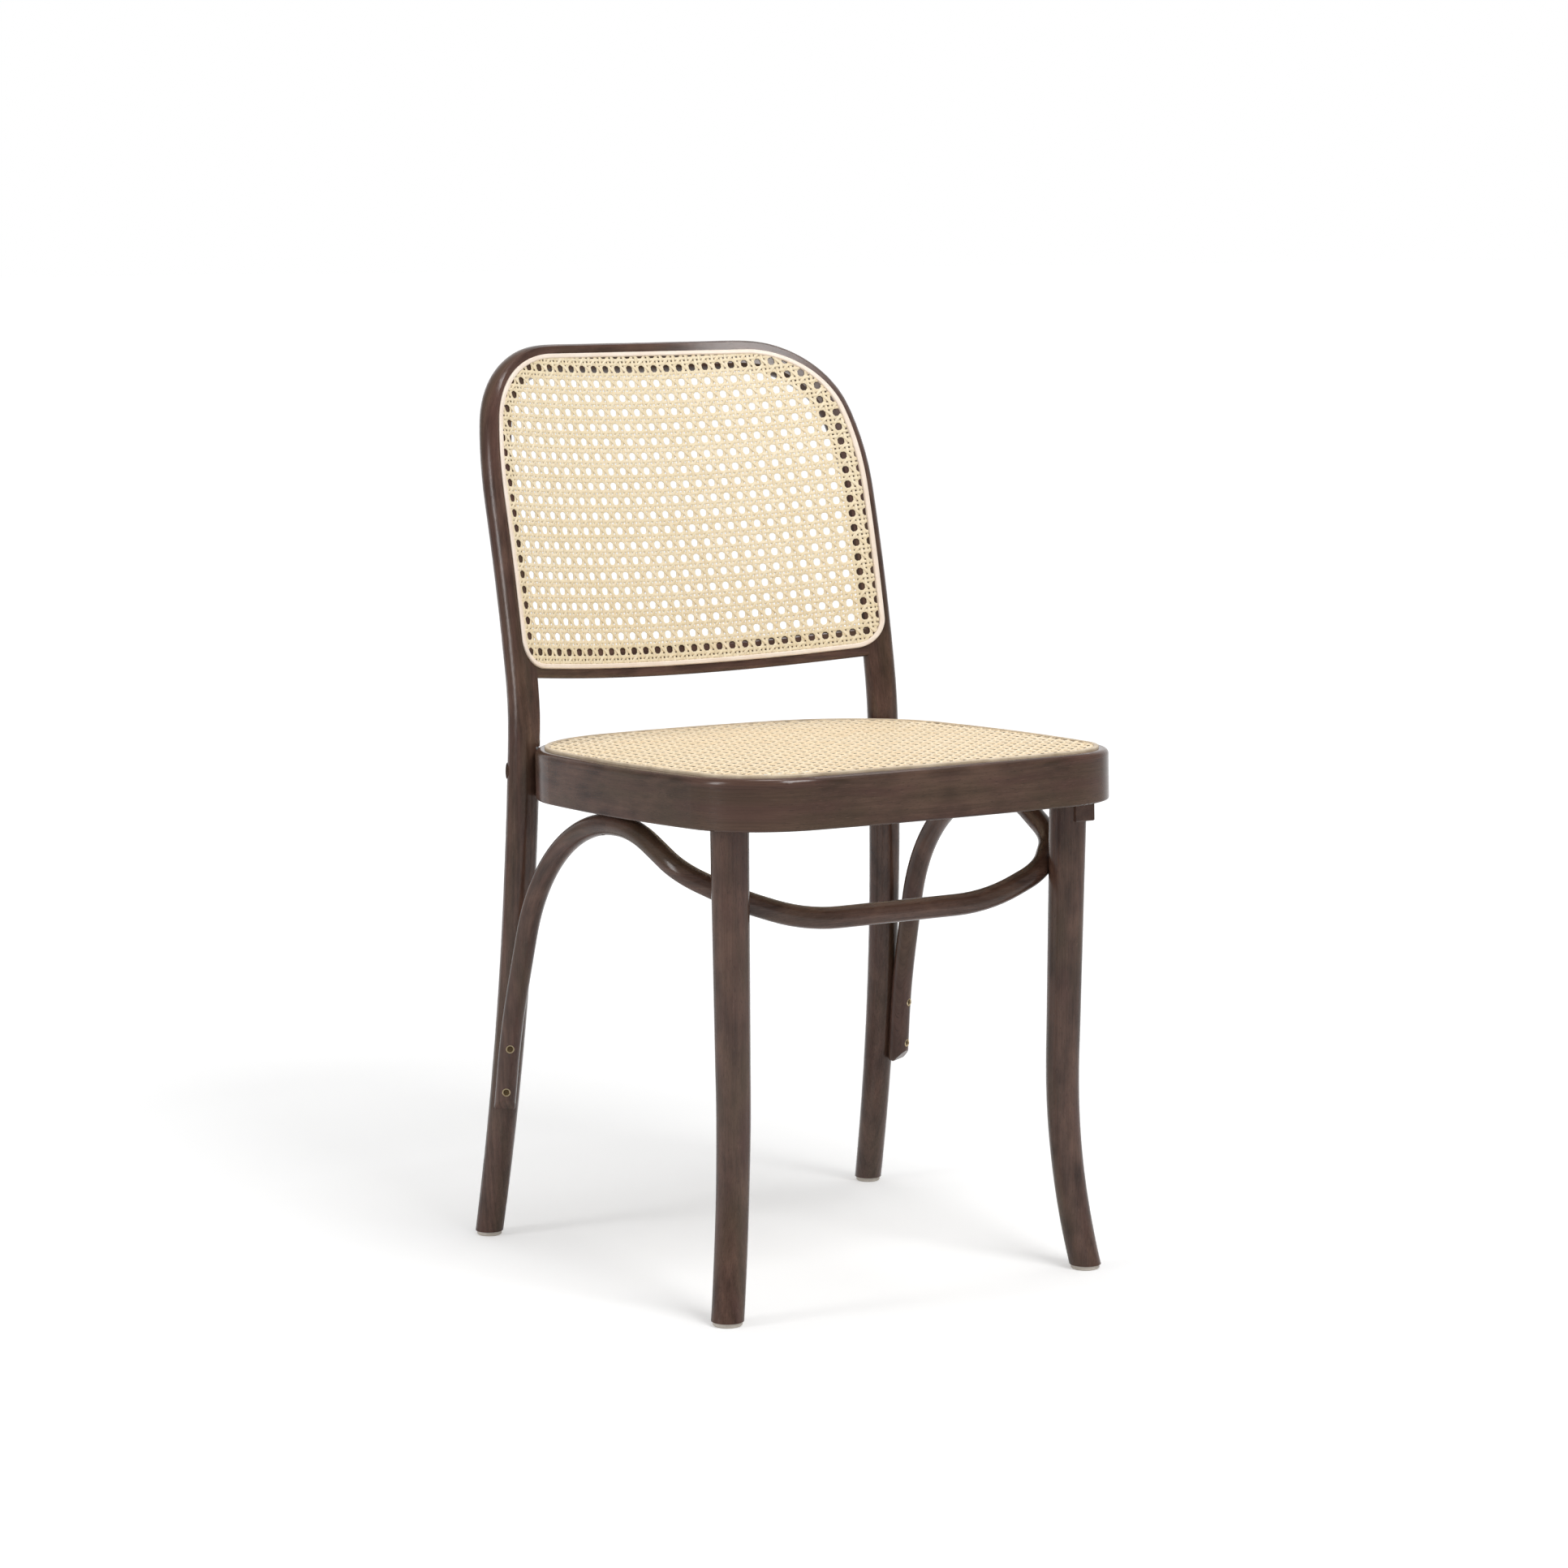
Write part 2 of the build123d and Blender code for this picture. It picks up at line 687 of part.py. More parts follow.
def hidden_screw_hole(length):
    """Profile of the hole for a screw with its head let in."""
    head = hidden_screw_head_diameter / 2 + screw_clearance
    shank = hidden_screw_diameter / 2 + screw_clearance
    depth = hidden_screw_head_recess + hidden_screw_head_height
    return [
        (0, -cup_reach),
        (head, -cup_reach),
        (head, depth),
        (shank, depth),
        (shank, length + screw_clearance),
        (0, length + screw_clearance),
    ]


def hidden_screw(length):
    """Profile of a screw with its head let in."""
    head = hidden_screw_head_diameter / 2
    shank = hidden_screw_diameter / 2
    depth = hidden_screw_head_recess + hidden_screw_head_height
    return [
        (0, hidden_screw_head_recess),
        (head, hidden_screw_head_recess),
        (head, depth),
        (shank, depth),
        (shank, length - hidden_screw_diameter),
        (0, length),
    ]


seat_screw_hole = revolved(hidden_screw_hole(seat_screw_length), brace_seat_plane)
leg_screw_hole = revolved(hidden_screw_hole(leg_screw_length), brace_leg_plane)

bolt_shank = bolt_diameter / 2 + bolt_clearance
bolt_hole = revolved(
    [
        (0, bolt_seat - bolt_head_diameter),
        (bolt_head_diameter / 2 + bolt_clearance, bolt_seat - bolt_head_diameter),
        (bolt_head_diameter / 2 + bolt_clearance, bolt_seat),
        (bolt_shank, bolt_seat),
        (bolt_shank, washer_seat),
        (washer_diameter / 2 + bolt_clearance, washer_seat),
        (washer_diameter / 2 + bolt_clearance, bolt_end),
        (0, bolt_end),
    ],
    bolt_plane,
)
dowel_hole_profile = [
    (0, -dowel_length / 2 - dowel_clearance),
    (dowel_diameter / 2 + dowel_clearance, -dowel_length / 2 - dowel_clearance),
    (dowel_diameter / 2 + dowel_clearance, dowel_length / 2 + dowel_clearance),
    (0, dowel_length / 2 + dowel_clearance),
]
dowel_holes = [revolved(dowel_hole_profile, plane) for plane in dowel_planes]
nail_hole = [
    (0, 0),
    (nail_diameter / 2 + nail_clearance, 0),
    (nail_diameter / 2 + nail_clearance, nail_recess + nail_length + nail_clearance),
    (0, nail_recess + nail_length + nail_clearance),
]
front_nail_hole = revolved(nail_hole, Plane(glide_feet["front"].origin))
rear_nail_hole = revolved(nail_hole, Plane(glide_feet["rear"].origin))

with BuildPart() as back_groove:
    add(back_groove_layer)
    with BuildSketch(back_plane):
        add(back_outline(-spline_clearance))
        add(back_outline(spline_width + spline_clearance), mode=Mode.SUBTRACT)
    extrude(amount=back_cut_height * 2, both=True, mode=Mode.INTERSECT)

with BuildPart() as ring_body:
    with BuildSketch(seat_plane):
        add(ring_outline)
    extrude(amount=seat_ring_height)

# Back loop

with BuildPart() as back_loop:
    add(limb_blank.part)
    add(ring_body.part, mode=Mode.SUBTRACT)
    add(back_groove.part, mode=Mode.SUBTRACT)
    for hole in [*dowel_holes, *brace_screw_holes, bolt_hole, rear_nail_hole]:
        add(hole, mode=Mode.SUBTRACT)
        mirror(hole, about=Plane.YZ, mode=Mode.SUBTRACT)
back_loop.part.label = "back_loop"
export_step(back_loop.part, "parts/back_loop.step")

# Lower rail of the back

rail_side_low = back_point(limb_half_width, rail_bottom, back_land).Z
rail_mid_low = back_point(0, rail_bottom, back_land).Z
rail_side_high = back_point(limb_half_width, rail_top, back_land).Z
rail_mid_high = back_point(0, rail_top, back_land).Z
with BuildPart() as back_rail:
    add(rail_layer)
    with BuildSketch(Plane.XZ):
        with BuildLine():
            left = -limb_half_width
            right = limb_half_width
            ThreePointArc((left, rail_side_low), (0, rail_mid_low), (right, rail_side_low))
            ThreePointArc((left, rail_side_high), (0, rail_mid_high), (right, rail_side_high))
            Line((left, rail_side_low), (left, rail_side_high))
            Line((right, rail_side_low), (right, rail_side_high))
        make_face()
    extrude(amount=rail_cut_depth, both=True, mode=Mode.INTERSECT)
    long_edges = back_rail.edges().filter_by(lambda e: e.length > limb_half_width)
    fillet(long_edges, rail_edge_radius)
    add(limb_blank.part, mode=Mode.SUBTRACT)
    add(back_groove.part, mode=Mode.SUBTRACT)
    for hole in dowel_holes:
        add(hole, mode=Mode.SUBTRACT)
        mirror(hole, about=Plane.YZ, mode=Mode.SUBTRACT)
back_rail.part.label = "back_rail"
export_step(back_rail.part, "parts/back_rail.step")

# Cane of the back and its strip

with BuildPart() as back_cane:
    add(back_cane_layer)
    with BuildSketch(back_plane):
        add(back_outline(spline_width + spline_clearance))
        add(back_openings, mode=Mode.SUBTRACT)
    extrude(amount=back_cut_height * 2, both=True, mode=Mode.INTERSECT)
back_cane.part.label = "back_cane"
export_step(back_cane.part, "parts/back_cane.step")

with BuildPart() as back_spline:
    add(back_spline_layer)
    with BuildSketch(back_plane):
        add(back_outline(0))
        add(back_outline(spline_width), mode=Mode.SUBTRACT)
    extrude(amount=back_cut_height * 2, both=True, mode=Mode.INTERSECT)
    spline_face = back_spline.faces().sort_by(SortBy.AREA)[-2:].sort_by(Axis.Y)[0]
    fillet(spline_face.edges(), spline_edge_radius)
back_spline.part.label = "back_spline"
export_step(back_spline.part, "parts/back_spline.step")

# Seat ring

seat_up = Axis(seat_plane.origin, seat_plane.z_dir)
with BuildPart() as seat_ring:
    with BuildSketch(seat_plane):
        add(ring_outline)
        add(ring_inner_outline, mode=Mode.SUBTRACT)
    extrude(amount=seat_ring_height)
    fillet(seat_ring.faces().sort_by(seat_up)[-1].outer_wire().edges(), seat_top_edge_radius)
    fillet(seat_ring.faces().sort_by(seat_up)[0].outer_wire().edges(), seat_bottom_edge_radius)
    fillet(seat_ring.faces().sort_by(seat_up)[0].inner_wires()[0].edges(), seat_inner_edge_radius)
    with BuildSketch(seat_top_plane):
        add(seat_groove_outer)
        add(seat_groove_inner, mode=Mode.SUBTRACT)
    extrude(amount=-spline_depth, mode=Mode.SUBTRACT)
    for hole in [tenon_hole, bolt_hole, seat_screw_hole]:
        add(hole, mode=Mode.SUBTRACT)
        mirror(hole, about=Plane.YZ, mode=Mode.SUBTRACT)
seat_ring.part.label = "seat_ring"
export_step(seat_ring.part, "parts/seat_ring.step")

# Cane of the seat and its strip

with BuildPart() as seat_cane:
    with BuildSketch(seat_top_plane):
        add(seat_groove_inner)
        add(seat_openings, mode=Mode.SUBTRACT)
    extrude(amount=cane_thickness)
seat_cane.part.label = "seat_cane"
export_step(seat_cane.part, "parts/seat_cane.step")

with BuildPart() as seat_spline:
    with BuildSketch(seat_top_plane.offset(-spline_depth)):
        add(seat_outline(seat_rim))
        add(seat_outline(seat_rim + spline_width), mode=Mode.SUBTRACT)
    extrude(amount=spline_depth + spline_proud)
    fillet(seat_spline.faces().sort_by(seat_up)[-1].edges(), spline_edge_radius)
seat_spline.part.label = "seat_spline"
export_step(seat_spline.part, "parts/seat_spline.step")

# Blocks inside the front corners of the ring

with BuildPart() as corner_block_right:
    with BuildSketch(seat_plane):
        with Locations((seat_head_local.X, seat_head_local.Y)):
            Rectangle(corner_block_length, 2 * corner_block_reach, rotation=corner_block_turn)
        add(ring_inner_outline, mode=Mode.INTERSECT)
    extrude(amount=corner_block_height)
    add(tenon_hole, mode=Mode.SUBTRACT)
corner_block_right.part.label = "corner_block_right"
export_step(corner_block_right.part, "parts/corner_block_right.step")

with BuildPart() as corner_block_left:
    mirror(corner_block_right.part, about=Plane.YZ)
corner_block_left.part.label = "corner_block_left"
export_step(corner_block_left.part, "parts/corner_block_left.step")

# Front legs

with BuildPart() as front_leg_right:
    add(front_leg_blank.part)
    with BuildSketch(Plane(origin=seat_head, x_dir=(1, 0, 0), z_dir=seat_plane.z_dir)):
        Circle(tenon_diameter / 2)
    extrude(amount=tenon_length)
    add(leg_screw_hole, mode=Mode.SUBTRACT)
    add(front_nail_hole, mode=Mode.SUBTRACT)
front_leg_right.part.label = "front_leg_right"
export_step(front_leg_right.part, "parts/front_leg_right.step")

with BuildPart() as front_leg_left:
    mirror(front_leg_right.part, about=Plane.YZ)
front_leg_left.part.label = "front_leg_left"
export_step(front_leg_left.part, "parts/front_leg_left.step")

# Block at the head of the right front leg

leg_block_front = seat_head_local.Y - front_leg_head_diameter / 2 - leg_block_front_wall
with BuildPart() as leg_head_block:
    with BuildSketch(seat_plane):
        with Locations((seat_head_local.X + leg_block_offset, leg_block_front)):
            Rectangle(leg_block_width, leg_block_depth, align=(Align.CENTER, Align.MIN))
    extrude(amount=-leg_block_height)
    chamfer(leg_head_block.faces().sort_by(seat_up)[0].edges(), leg_block_edge)
    add(front_leg_blank.part, mode=Mode.SUBTRACT)
leg_head_block.part.label = "leg_head_block"
export_step(leg_head_block.part, "parts/leg_head_block.step")

# Brace

with BuildPart() as brace:
    add(brace_blank.part)
    add(limb_blank.part, mode=Mode.SUBTRACT)
    add(front_leg_blank.part, mode=Mode.SUBTRACT)
    for hole in [*brace_screw_holes, seat_screw_hole, leg_screw_hole]:
        add(hole, mode=Mode.SUBTRACT)
    mirror(about=Plane.YZ)
brace.part.label = "brace"
export_step(brace.part, "parts/brace.step")

# Screws and cups at the lower ends of the brace

cup_top = -cup_rim_height
screw_top = cup_top + brace_screw_head_sink
brace_screw_profile = [
    (0, screw_top - brace_screw_dome),
    (brace_screw_head_diameter / 4, screw_top - brace_screw_dome * 3 / 4),
    (brace_screw_head_diameter / 2, screw_top),
    (brace_screw_diameter / 2, screw_top + brace_screw_head_height),
    (brace_screw_diameter / 2, brace_screw_length - brace_screw_diameter),
    (0, brace_screw_length),
]
cup_profile = [
    (brace_screw_head_diameter / 2 + screw_clearance, screw_top),
    (cup_mouth_diameter / 2, cup_top),
    (cup_diameter / 2 - cup_rim_height / 2, cup_top),
    (cup_diameter / 2, 0),
    (brace_screw_diameter / 2 + screw_clearance, cup_height),
    (brace_screw_diameter / 2 + screw_clearance, screw_top + brace_screw_head_height),
]
with BuildPart() as brace_screws:
    for plane in brace_screw_planes:
        add(revolved(brace_screw_profile, plane))
        with BuildSketch(plane.offset(screw_top - brace_screw_dome)):
            Rectangle(brace_screw_head_diameter, slot_width)
        extrude(amount=slot_depth, mode=Mode.SUBTRACT)
    mirror(about=Plane.YZ)
brace_screws.part.label = "brace_screws"
export_step(brace_screws.part, "parts/brace_screws.step")

with BuildPart() as brace_screw_cups:
    for plane in brace_screw_planes:
        add(revolved(cup_profile, plane))
    mirror(about=Plane.YZ)
brace_screw_cups.part.label = "brace_screw_cups"
export_step(brace_screw_cups.part, "parts/brace_screw_cups.step")

# Screws from the brace into the ring and into the front legs

with BuildPart() as brace_seat_screws:
    add(revolved(hidden_screw(seat_screw_length), brace_seat_plane))
    mirror(about=Plane.YZ)
brace_seat_screws.part.label = "brace_seat_screws"
export_step(brace_seat_screws.part, "parts/brace_seat_screws.step")

with BuildPart() as brace_leg_screws:
    add(revolved(hidden_screw(leg_screw_length), brace_leg_plane))
    mirror(about=Plane.YZ)
brace_leg_screws.part.label = "brace_leg_screws"
export_step(brace_leg_screws.part, "parts/brace_leg_screws.step")

# Bolts, washers and nuts between the rear legs and the ring

with BuildPart() as seat_bolts:
    with BuildSketch(bolt_plane.offset(bolt_seat)):
        Circle(bolt_diameter / 2)
    extrude(amount=bolt_end - bolt_seat)
    with BuildSketch(bolt_plane.offset(bolt_seat)):
        Circle(bolt_head_diameter / 2)
    extrude(amount=-bolt_head_height)
    head_face = seat_bolts.faces().sort_by(Axis(bolt_limb, bolt_run))[0]
    fillet(head_face.edges(), bolt_head_height - bolt_recess)
    mirror(about=Plane.YZ)
seat_bolts.part.label = "seat_bolts"
export_step(seat_bolts.part, "parts/seat_bolts.step")

with BuildPart() as seat_bolt_washers:
    with BuildSketch(bolt_plane.offset(washer_seat)):
        Circle(washer_diameter / 2)
        Circle(bolt_shank, mode=Mode.SUBTRACT)
    extrude(amount=washer_thickness)
    mirror(about=Plane.YZ)
seat_bolt_washers.part.label = "seat_bolt_washers"
export_step(seat_bolt_washers.part, "parts/seat_bolt_washers.step")

with BuildPart() as seat_bolt_nuts:
    with BuildSketch(bolt_plane.offset(washer_seat + washer_thickness)):
        RegularPolygon(nut_width / 2, 6, major_radius=False)
        Circle(bolt_shank, mode=Mode.SUBTRACT)
    extrude(amount=nut_thickness)
    mirror(about=Plane.YZ)
seat_bolt_nuts.part.label = "seat_bolt_nuts"
export_step(seat_bolt_nuts.part, "parts/seat_bolt_nuts.step")

# Dowels of the rail

with BuildPart() as rail_dowels:
    for plane in dowel_planes:
        with BuildSketch(plane.offset(-dowel_length / 2)):
            Circle(dowel_diameter / 2)
        extrude(amount=dowel_length)
    chamfer(rail_dowels.edges().filter_by(GeomType.CIRCLE), dowel_edge)
    mirror(about=Plane.YZ)
rail_dowels.part.label = "rail_dowels"
export_step(rail_dowels.part, "parts/rail_dowels.step")

# Glides under the feet and their nails

for name, foot in glide_feet.items():
    with BuildPart() as glide_right:
        with BuildSketch(Plane((foot.origin.X, foot.origin.Y, 0))):
            Circle(foot.radius - glide_inset)
        extrude(amount=glide_height)
        chamfer(glide_right.faces().sort_by(Axis.Z)[0].edges(), glide_edge)
        with BuildSketch(Plane((foot.origin.X, foot.origin.Y, 0))):
            Circle(nail_head_diameter / 2 + nail_clearance)
        extrude(amount=nail_recess + nail_head_height, mode=Mode.SUBTRACT)
        with BuildSketch(Plane((foot.origin.X, foot.origin.Y, 0))):
            Circle(nail_diameter / 2 + nail_clearance)
        extrude(amount=glide_height, mode=Mode.SUBTRACT)
    glide_right.part.label = f"glide_{name}_right"
    export_step(glide_right.part, f"parts/glide_{name}_right.step")

    with BuildPart() as glide_left:
        mirror(glide_right.part, about=Plane.YZ)
    glide_left.part.label = f"glide_{name}_left"
    export_step(glide_left.part, f"parts/glide_{name}_left.step")

with BuildPart() as glide_nails:
    for foot in glide_feet.values():
        with BuildSketch(Plane((foot.origin.X, foot.origin.Y, nail_recess))):
            Circle(nail_head_diameter / 2)
        extrude(amount=nail_head_height)
        with BuildSketch(Plane((foot.origin.X, foot.origin.Y, nail_recess))):
            Circle(nail_diameter / 2)
        extrude(amount=nail_length)
    mirror(about=Plane.YZ)
glide_nails.part.label = "glide_nails"
export_step(glide_nails.part, "parts/glide_nails.step")
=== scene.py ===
"""Cane chair: finishes, woven cane, floor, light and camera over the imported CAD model."""

from math import atan2, cos, hypot, pi, radians, sin

import bpy
import numpy as np
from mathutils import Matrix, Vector


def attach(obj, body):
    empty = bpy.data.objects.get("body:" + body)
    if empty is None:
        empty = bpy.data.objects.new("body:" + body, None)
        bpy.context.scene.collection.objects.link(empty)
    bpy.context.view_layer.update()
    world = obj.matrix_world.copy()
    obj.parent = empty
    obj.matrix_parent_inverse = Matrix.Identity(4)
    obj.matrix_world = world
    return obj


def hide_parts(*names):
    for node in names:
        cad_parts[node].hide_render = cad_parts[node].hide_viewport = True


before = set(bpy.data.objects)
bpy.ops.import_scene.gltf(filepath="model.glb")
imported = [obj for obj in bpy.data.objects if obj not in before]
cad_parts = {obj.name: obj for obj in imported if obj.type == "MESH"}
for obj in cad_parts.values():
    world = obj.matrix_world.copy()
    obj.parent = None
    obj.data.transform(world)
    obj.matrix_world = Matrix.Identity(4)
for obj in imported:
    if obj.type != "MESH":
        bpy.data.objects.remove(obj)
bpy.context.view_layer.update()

MM = 0.001

# Back surface, in millimetres: bowed across, curved in its height, leaning back
BACK_LEAN = radians(10.5)
BACK_CURVE_RADIUS = 1640.0
BACK_BOW = 43.0
BACK_HALF_WIDTH = 191.0
BACK_MID_RISE = 150.0
BEND_RADIUS = 345.0
BEND_START = (128.7, 455.0)
BACK_BOW_RADIUS = (BACK_HALF_WIDTH**2 + BACK_BOW**2) / (2 * BACK_BOW)
BACK_MID_LEAN = BACK_LEAN + BACK_MID_RISE / BACK_CURVE_RADIUS
BACK_MID = (
    BEND_START[0]
    + BEND_RADIUS * (1 - cos(BACK_LEAN))
    + BACK_CURVE_RADIUS * (cos(BACK_LEAN) - cos(BACK_MID_LEAN)),
    BEND_START[1]
    + BEND_RADIUS * sin(BACK_LEAN)
    + BACK_CURVE_RADIUS * (sin(BACK_MID_LEAN) - sin(BACK_LEAN)),
)

# Inner edge of the strip round the back cane, in millimetres: top, bottom and bottom corner, then the
# three arcs from the middle of the top to the side, and the headings at which they meet
BACK_EDGE_TOP = 151.2
BACK_EDGE_BOTTOM = -138.1
BACK_EDGE_BOTTOM_RADIUS = 21.6
BACK_EDGE_RADII = (1798.0, 83.0, 328.0)
BACK_EDGE_TURNS = (radians(3.3), radians(77.0))

# Seat surface, in millimetres: a plane that falls to the rear, the ring's outline in it, and the inset of
# the strip's inner edge
SEAT_TILT = radians(2.0)
SEAT_BOTTOM = 417.1
SEAT_RING_HEIGHT = 44.5
SEAT_FRONT = -272.6
SEAT_REAR = 175.9
SEAT_CORNER_HALF_WIDTH = 198.5
SEAT_FRONT_BOW = 8.5
SEAT_SIDE_BOW = 17.7
SEAT_REAR_BOW = 25.5
SEAT_FRONT_CORNER_RADIUS = 83.0
SEAT_REAR_CORNER_RADIUS = 136.0
SEAT_EDGE_INSET = 12.9

# Cane strands, in millimetres: the section's points are shares of width and thickness, the spread a share
# of the width, the gap lies between the middles of a pair, and the tuck reaches under the strip
STRAND_WIDTH = 2.75
STRAND_WIDTH_SPREAD = (0.94, 1.04)
STRAND_THICKNESS = 0.55
STRAND_SECTION = ((-0.5, -0.5), (-0.5, 0.1), (-0.28, 0.42), (0.28, 0.42), (0.5, 0.1), (0.5, -0.5))
PAIR_HALF_GAP = 2.15
PAIR_WAVE = 0.26
DIAGONAL_WAVE = 0.42
TUCK = 0.9
STEPS_PER_HOLE = 6
LEAST_STEPS = 3
SHORTEST_STRAND_HOLES = 0.25

# Cane panels, in millimetres: pitch and phase of the holes across and up, and the height over the surface
BACK_PITCH = (13.27, 14.0)
BACK_PHASE = (182.2, -1.4)
BACK_CANE_HEIGHT = 11.15
BACK_SEED = 5
SEAT_PITCH = (13.6, 13.6)
SEAT_PHASE = (6.8, 2.0)
SEAT_CANE_HEIGHT = 0.85
SEAT_SEED = 9

# Middle lines that the grain of the bent pieces follows, in metres: half width, top and corner radius
RING_LINE = (0.21, 0.27, 0.085)
LOOP_LINE = (BACK_HALF_WIDTH * MM, 0.797, 0.095)
BRACE_PLAN_LINE = (0.199, 0.19, 0.075)
BRACE_ARCH_LINE = (0.165, 0.409, 0.148)
BRACE_ARCH_MIDDLE = -0.05
LOOP_LEAN_START = 0.47
LOOP_LEAN = 0.24

# Colours that the materials mix in
WOOD_DARK = (0.041, 0.0195, 0.0135, 1.0)
WOOD_PALE = (0.130, 0.070, 0.050, 1.0)
WOOD_OLIVE = (0.072, 0.049, 0.026, 1.0)
WOOD_RED = (0.092, 0.040, 0.033, 1.0)
WOOD_RAY = (0.160, 0.095, 0.068, 1.0)
WOOD_PORE = (0.020, 0.011, 0.008, 1.0)
CANE_BLOTCH = (0.83, 0.655, 0.43, 1.0)
CANE_FIBRE = (0.84, 0.69, 0.48, 1.0)
# Painted shade at the edges of the cane strands
CANE_EDGE_SHADE = (0.72, 0.56, 0.36, 1.0)
GLIDE_DARK = (0.60, 0.54, 0.47, 1.0)
GLIDE_PALE = (0.70, 0.645, 0.58, 1.0)
DOWEL_DARK = (0.47, 0.31, 0.18, 1.0)
DOWEL_PALE = (0.62, 0.45, 0.29, 1.0)
FLOOR_GREY = (0.80, 0.80, 0.80, 1.0)
WHITE = (1.0, 1.0, 1.0, 1.0)

# Camera, in millimetres and degrees, and the photograph's focal length as a share of its width
CAMERA_TARGET = Vector((-9.37, -20.2, 427.14))
CAMERA_DISTANCE = 3842.35
CAMERA_AZIMUTH = radians(-31.73)
CAMERA_ELEVATION = radians(7.91)
SENSOR_WIDTH = 36.0
FOCAL_SHARE = 5296.5 / 1932

# White backdrop behind the chair: its direction, and the cosines from it between which it ends
BACKDROP_WAY = (-sin(CAMERA_AZIMUTH), cos(CAMERA_AZIMUTH), 0.0)
BACKDROP_EDGE = (0.60, 0.98)

# Floor, in metres: its reach, and the distances between which its glow grows to white
FLOOR_REACH = 40.0
FLOOR_GLOW_DISTANCES = (0.6, 2.4)
FLOOR_GLOW = (0.33, 0.70)

# Strength of the studio round the chair: as light, and as metal and lacquer mirror it
SURROUND = 0.45
MIRRORED_SURROUND = 0.28
BACKDROP_STRENGTH = 1.0


class Shading:
    """Node tree of a material or world, with one short call for each kind of node used here."""

    def __init__(self, owner, output="ShaderNodeOutputMaterial"):
        self.owner = owner
        self.owner.use_nodes = True
        self.tree = self.owner.node_tree
        self.tree.nodes.clear()
        self.output = self.tree.nodes.new(output)

    def add(self, kind, inputs=(), **settings):
        """A node with its settings, and its inputs given as values or as other nodes' outputs."""
        node = self.tree.nodes.new(kind)
        for name, value in settings.items():
            setattr(node, name, value)
        for socket, value in dict(inputs).items():
            self.feed(node.inputs[socket], value)
        return node

    def feed(self, socket, value):
        """Links an output to a socket, or sets the socket's value."""
        if isinstance(value, bpy.types.NodeSocket):
            self.tree.links.new(value, socket)
        else:
            socket.default_value = value

    def math(self, operation, *values):
        """The output of a Math node."""
        return self.add("ShaderNodeMath", enumerate(values), operation=operation).outputs[0]

    def length(self, x, y):
        """The length of a flat vector."""
        return self.math("SQRT", self.math("ADD", self.math("POWER", x, 2.0), self.math("POWER", y, 2.0)))

    def vector(self, x, y, z):
        """The output of a vector made from three numbers."""
        return self.add("ShaderNodeCombineXYZ", {0: x, 1: y, 2: z}).outputs[0]

    def place(self):
        """The place on the object, in metres."""
        return self.add("ShaderNodeTexCoord").outputs["Object"]

    def position(self):
        """The three numbers of the place on the object."""
        return self.add("ShaderNodeSeparateXYZ", {0: self.place()}).outputs

    def noise(self, vector, scale, detail=2.0, roughness=0.5):
        """The output of a noise, from 0 to 1."""
        inputs = {"Vector": vector, "Scale": scale, "Detail": detail, "Roughness": roughness}
        return self.add("ShaderNodeTexNoise", inputs).outputs["Fac"]

    def ramp(self, value, low, high, start=0.0, end=1.0):
        """A number moved from the range low to high into the range start to end, and kept in it."""
        inputs = {0: value, 1: low, 2: high, 3: start, 4: end}
        return self.add("ShaderNodeMapRange", inputs).outputs[0]

    def mix(self, share, first, second):
        """The output of a mix of two colours."""
        node = self.add("ShaderNodeMix", data_type="RGBA")
        for socket, value in zip((0, 6, 7), (share, first, second)):
            self.feed(node.inputs[socket], value)
        return node.outputs[2]

    def bump(self, height, distance, strength=1.0):
        """The normal output of a bump, its distance in metres."""
        inputs = {"Height": height, "Distance": distance, "Strength": strength}
        return self.add("ShaderNodeBump", inputs).outputs[0]

    def close(self, shader):
        """Links a shader to the output, and gives back the finished material or world."""
        self.tree.links.new(shader.outputs[0], self.output.inputs["Surface"])
        return self.owner

    def surface(self, inputs):
        """The material with a Principled shader as its surface."""
        return self.close(self.add("ShaderNodeBsdfPrincipled", inputs))


def new_shading(name):
    """The empty node tree of a new material."""
    return Shading(bpy.data.materials.new(name))


# Grain: two numbers across the fibres of a wooden piece and one along them, from the place on the piece


def outside_line(shading, x, y, half_width, top, radius):
    """Distance out from a middle line that goes up both sides and round two corners over the top."""
    over_x = shading.math("SUBTRACT", shading.math("ABSOLUTE", x), half_width - radius)
    over_y = shading.math("SUBTRACT", y, top - radius)
    corner = shading.length(shading.math("MAXIMUM", over_x, 0.0), shading.math("MAXIMUM", over_y, 0.0))
    inside = shading.math("MINIMUM", shading.math("MAXIMUM", over_x, over_y), 0.0)
    return shading.math("ADD", corner, inside)


def back_bow(shading, x):
    """How far the back's bow comes forward at a place across it."""
    return shading.math("MULTIPLY", shading.math("POWER", x, 2.0), BACK_BOW / BACK_HALF_WIDTH**2 / MM)


def upright_grain(shading):
    """Fibres that run up a leg."""
    x, y, z = shading.position()
    return x, y, z


def level_grain(shading):
    """Fibres that run across the chair in a bowed rail."""
    x, y, z = shading.position()
    return z, shading.math("ADD", y, back_bow(shading, x)), x


def ring_grain(shading):
    """Fibres that run round the seat ring."""
    x, y, z = shading.position()
    outward = outside_line(shading, x, shading.math("MULTIPLY", y, -1.0), *RING_LINE)
    tilt = shading.math("MULTIPLY", y, sin(SEAT_TILT))
    along = shading.math("SUBTRACT", shading.math("ABSOLUTE", x), y)
    return shading.math("ADD", z, tilt), outward, along


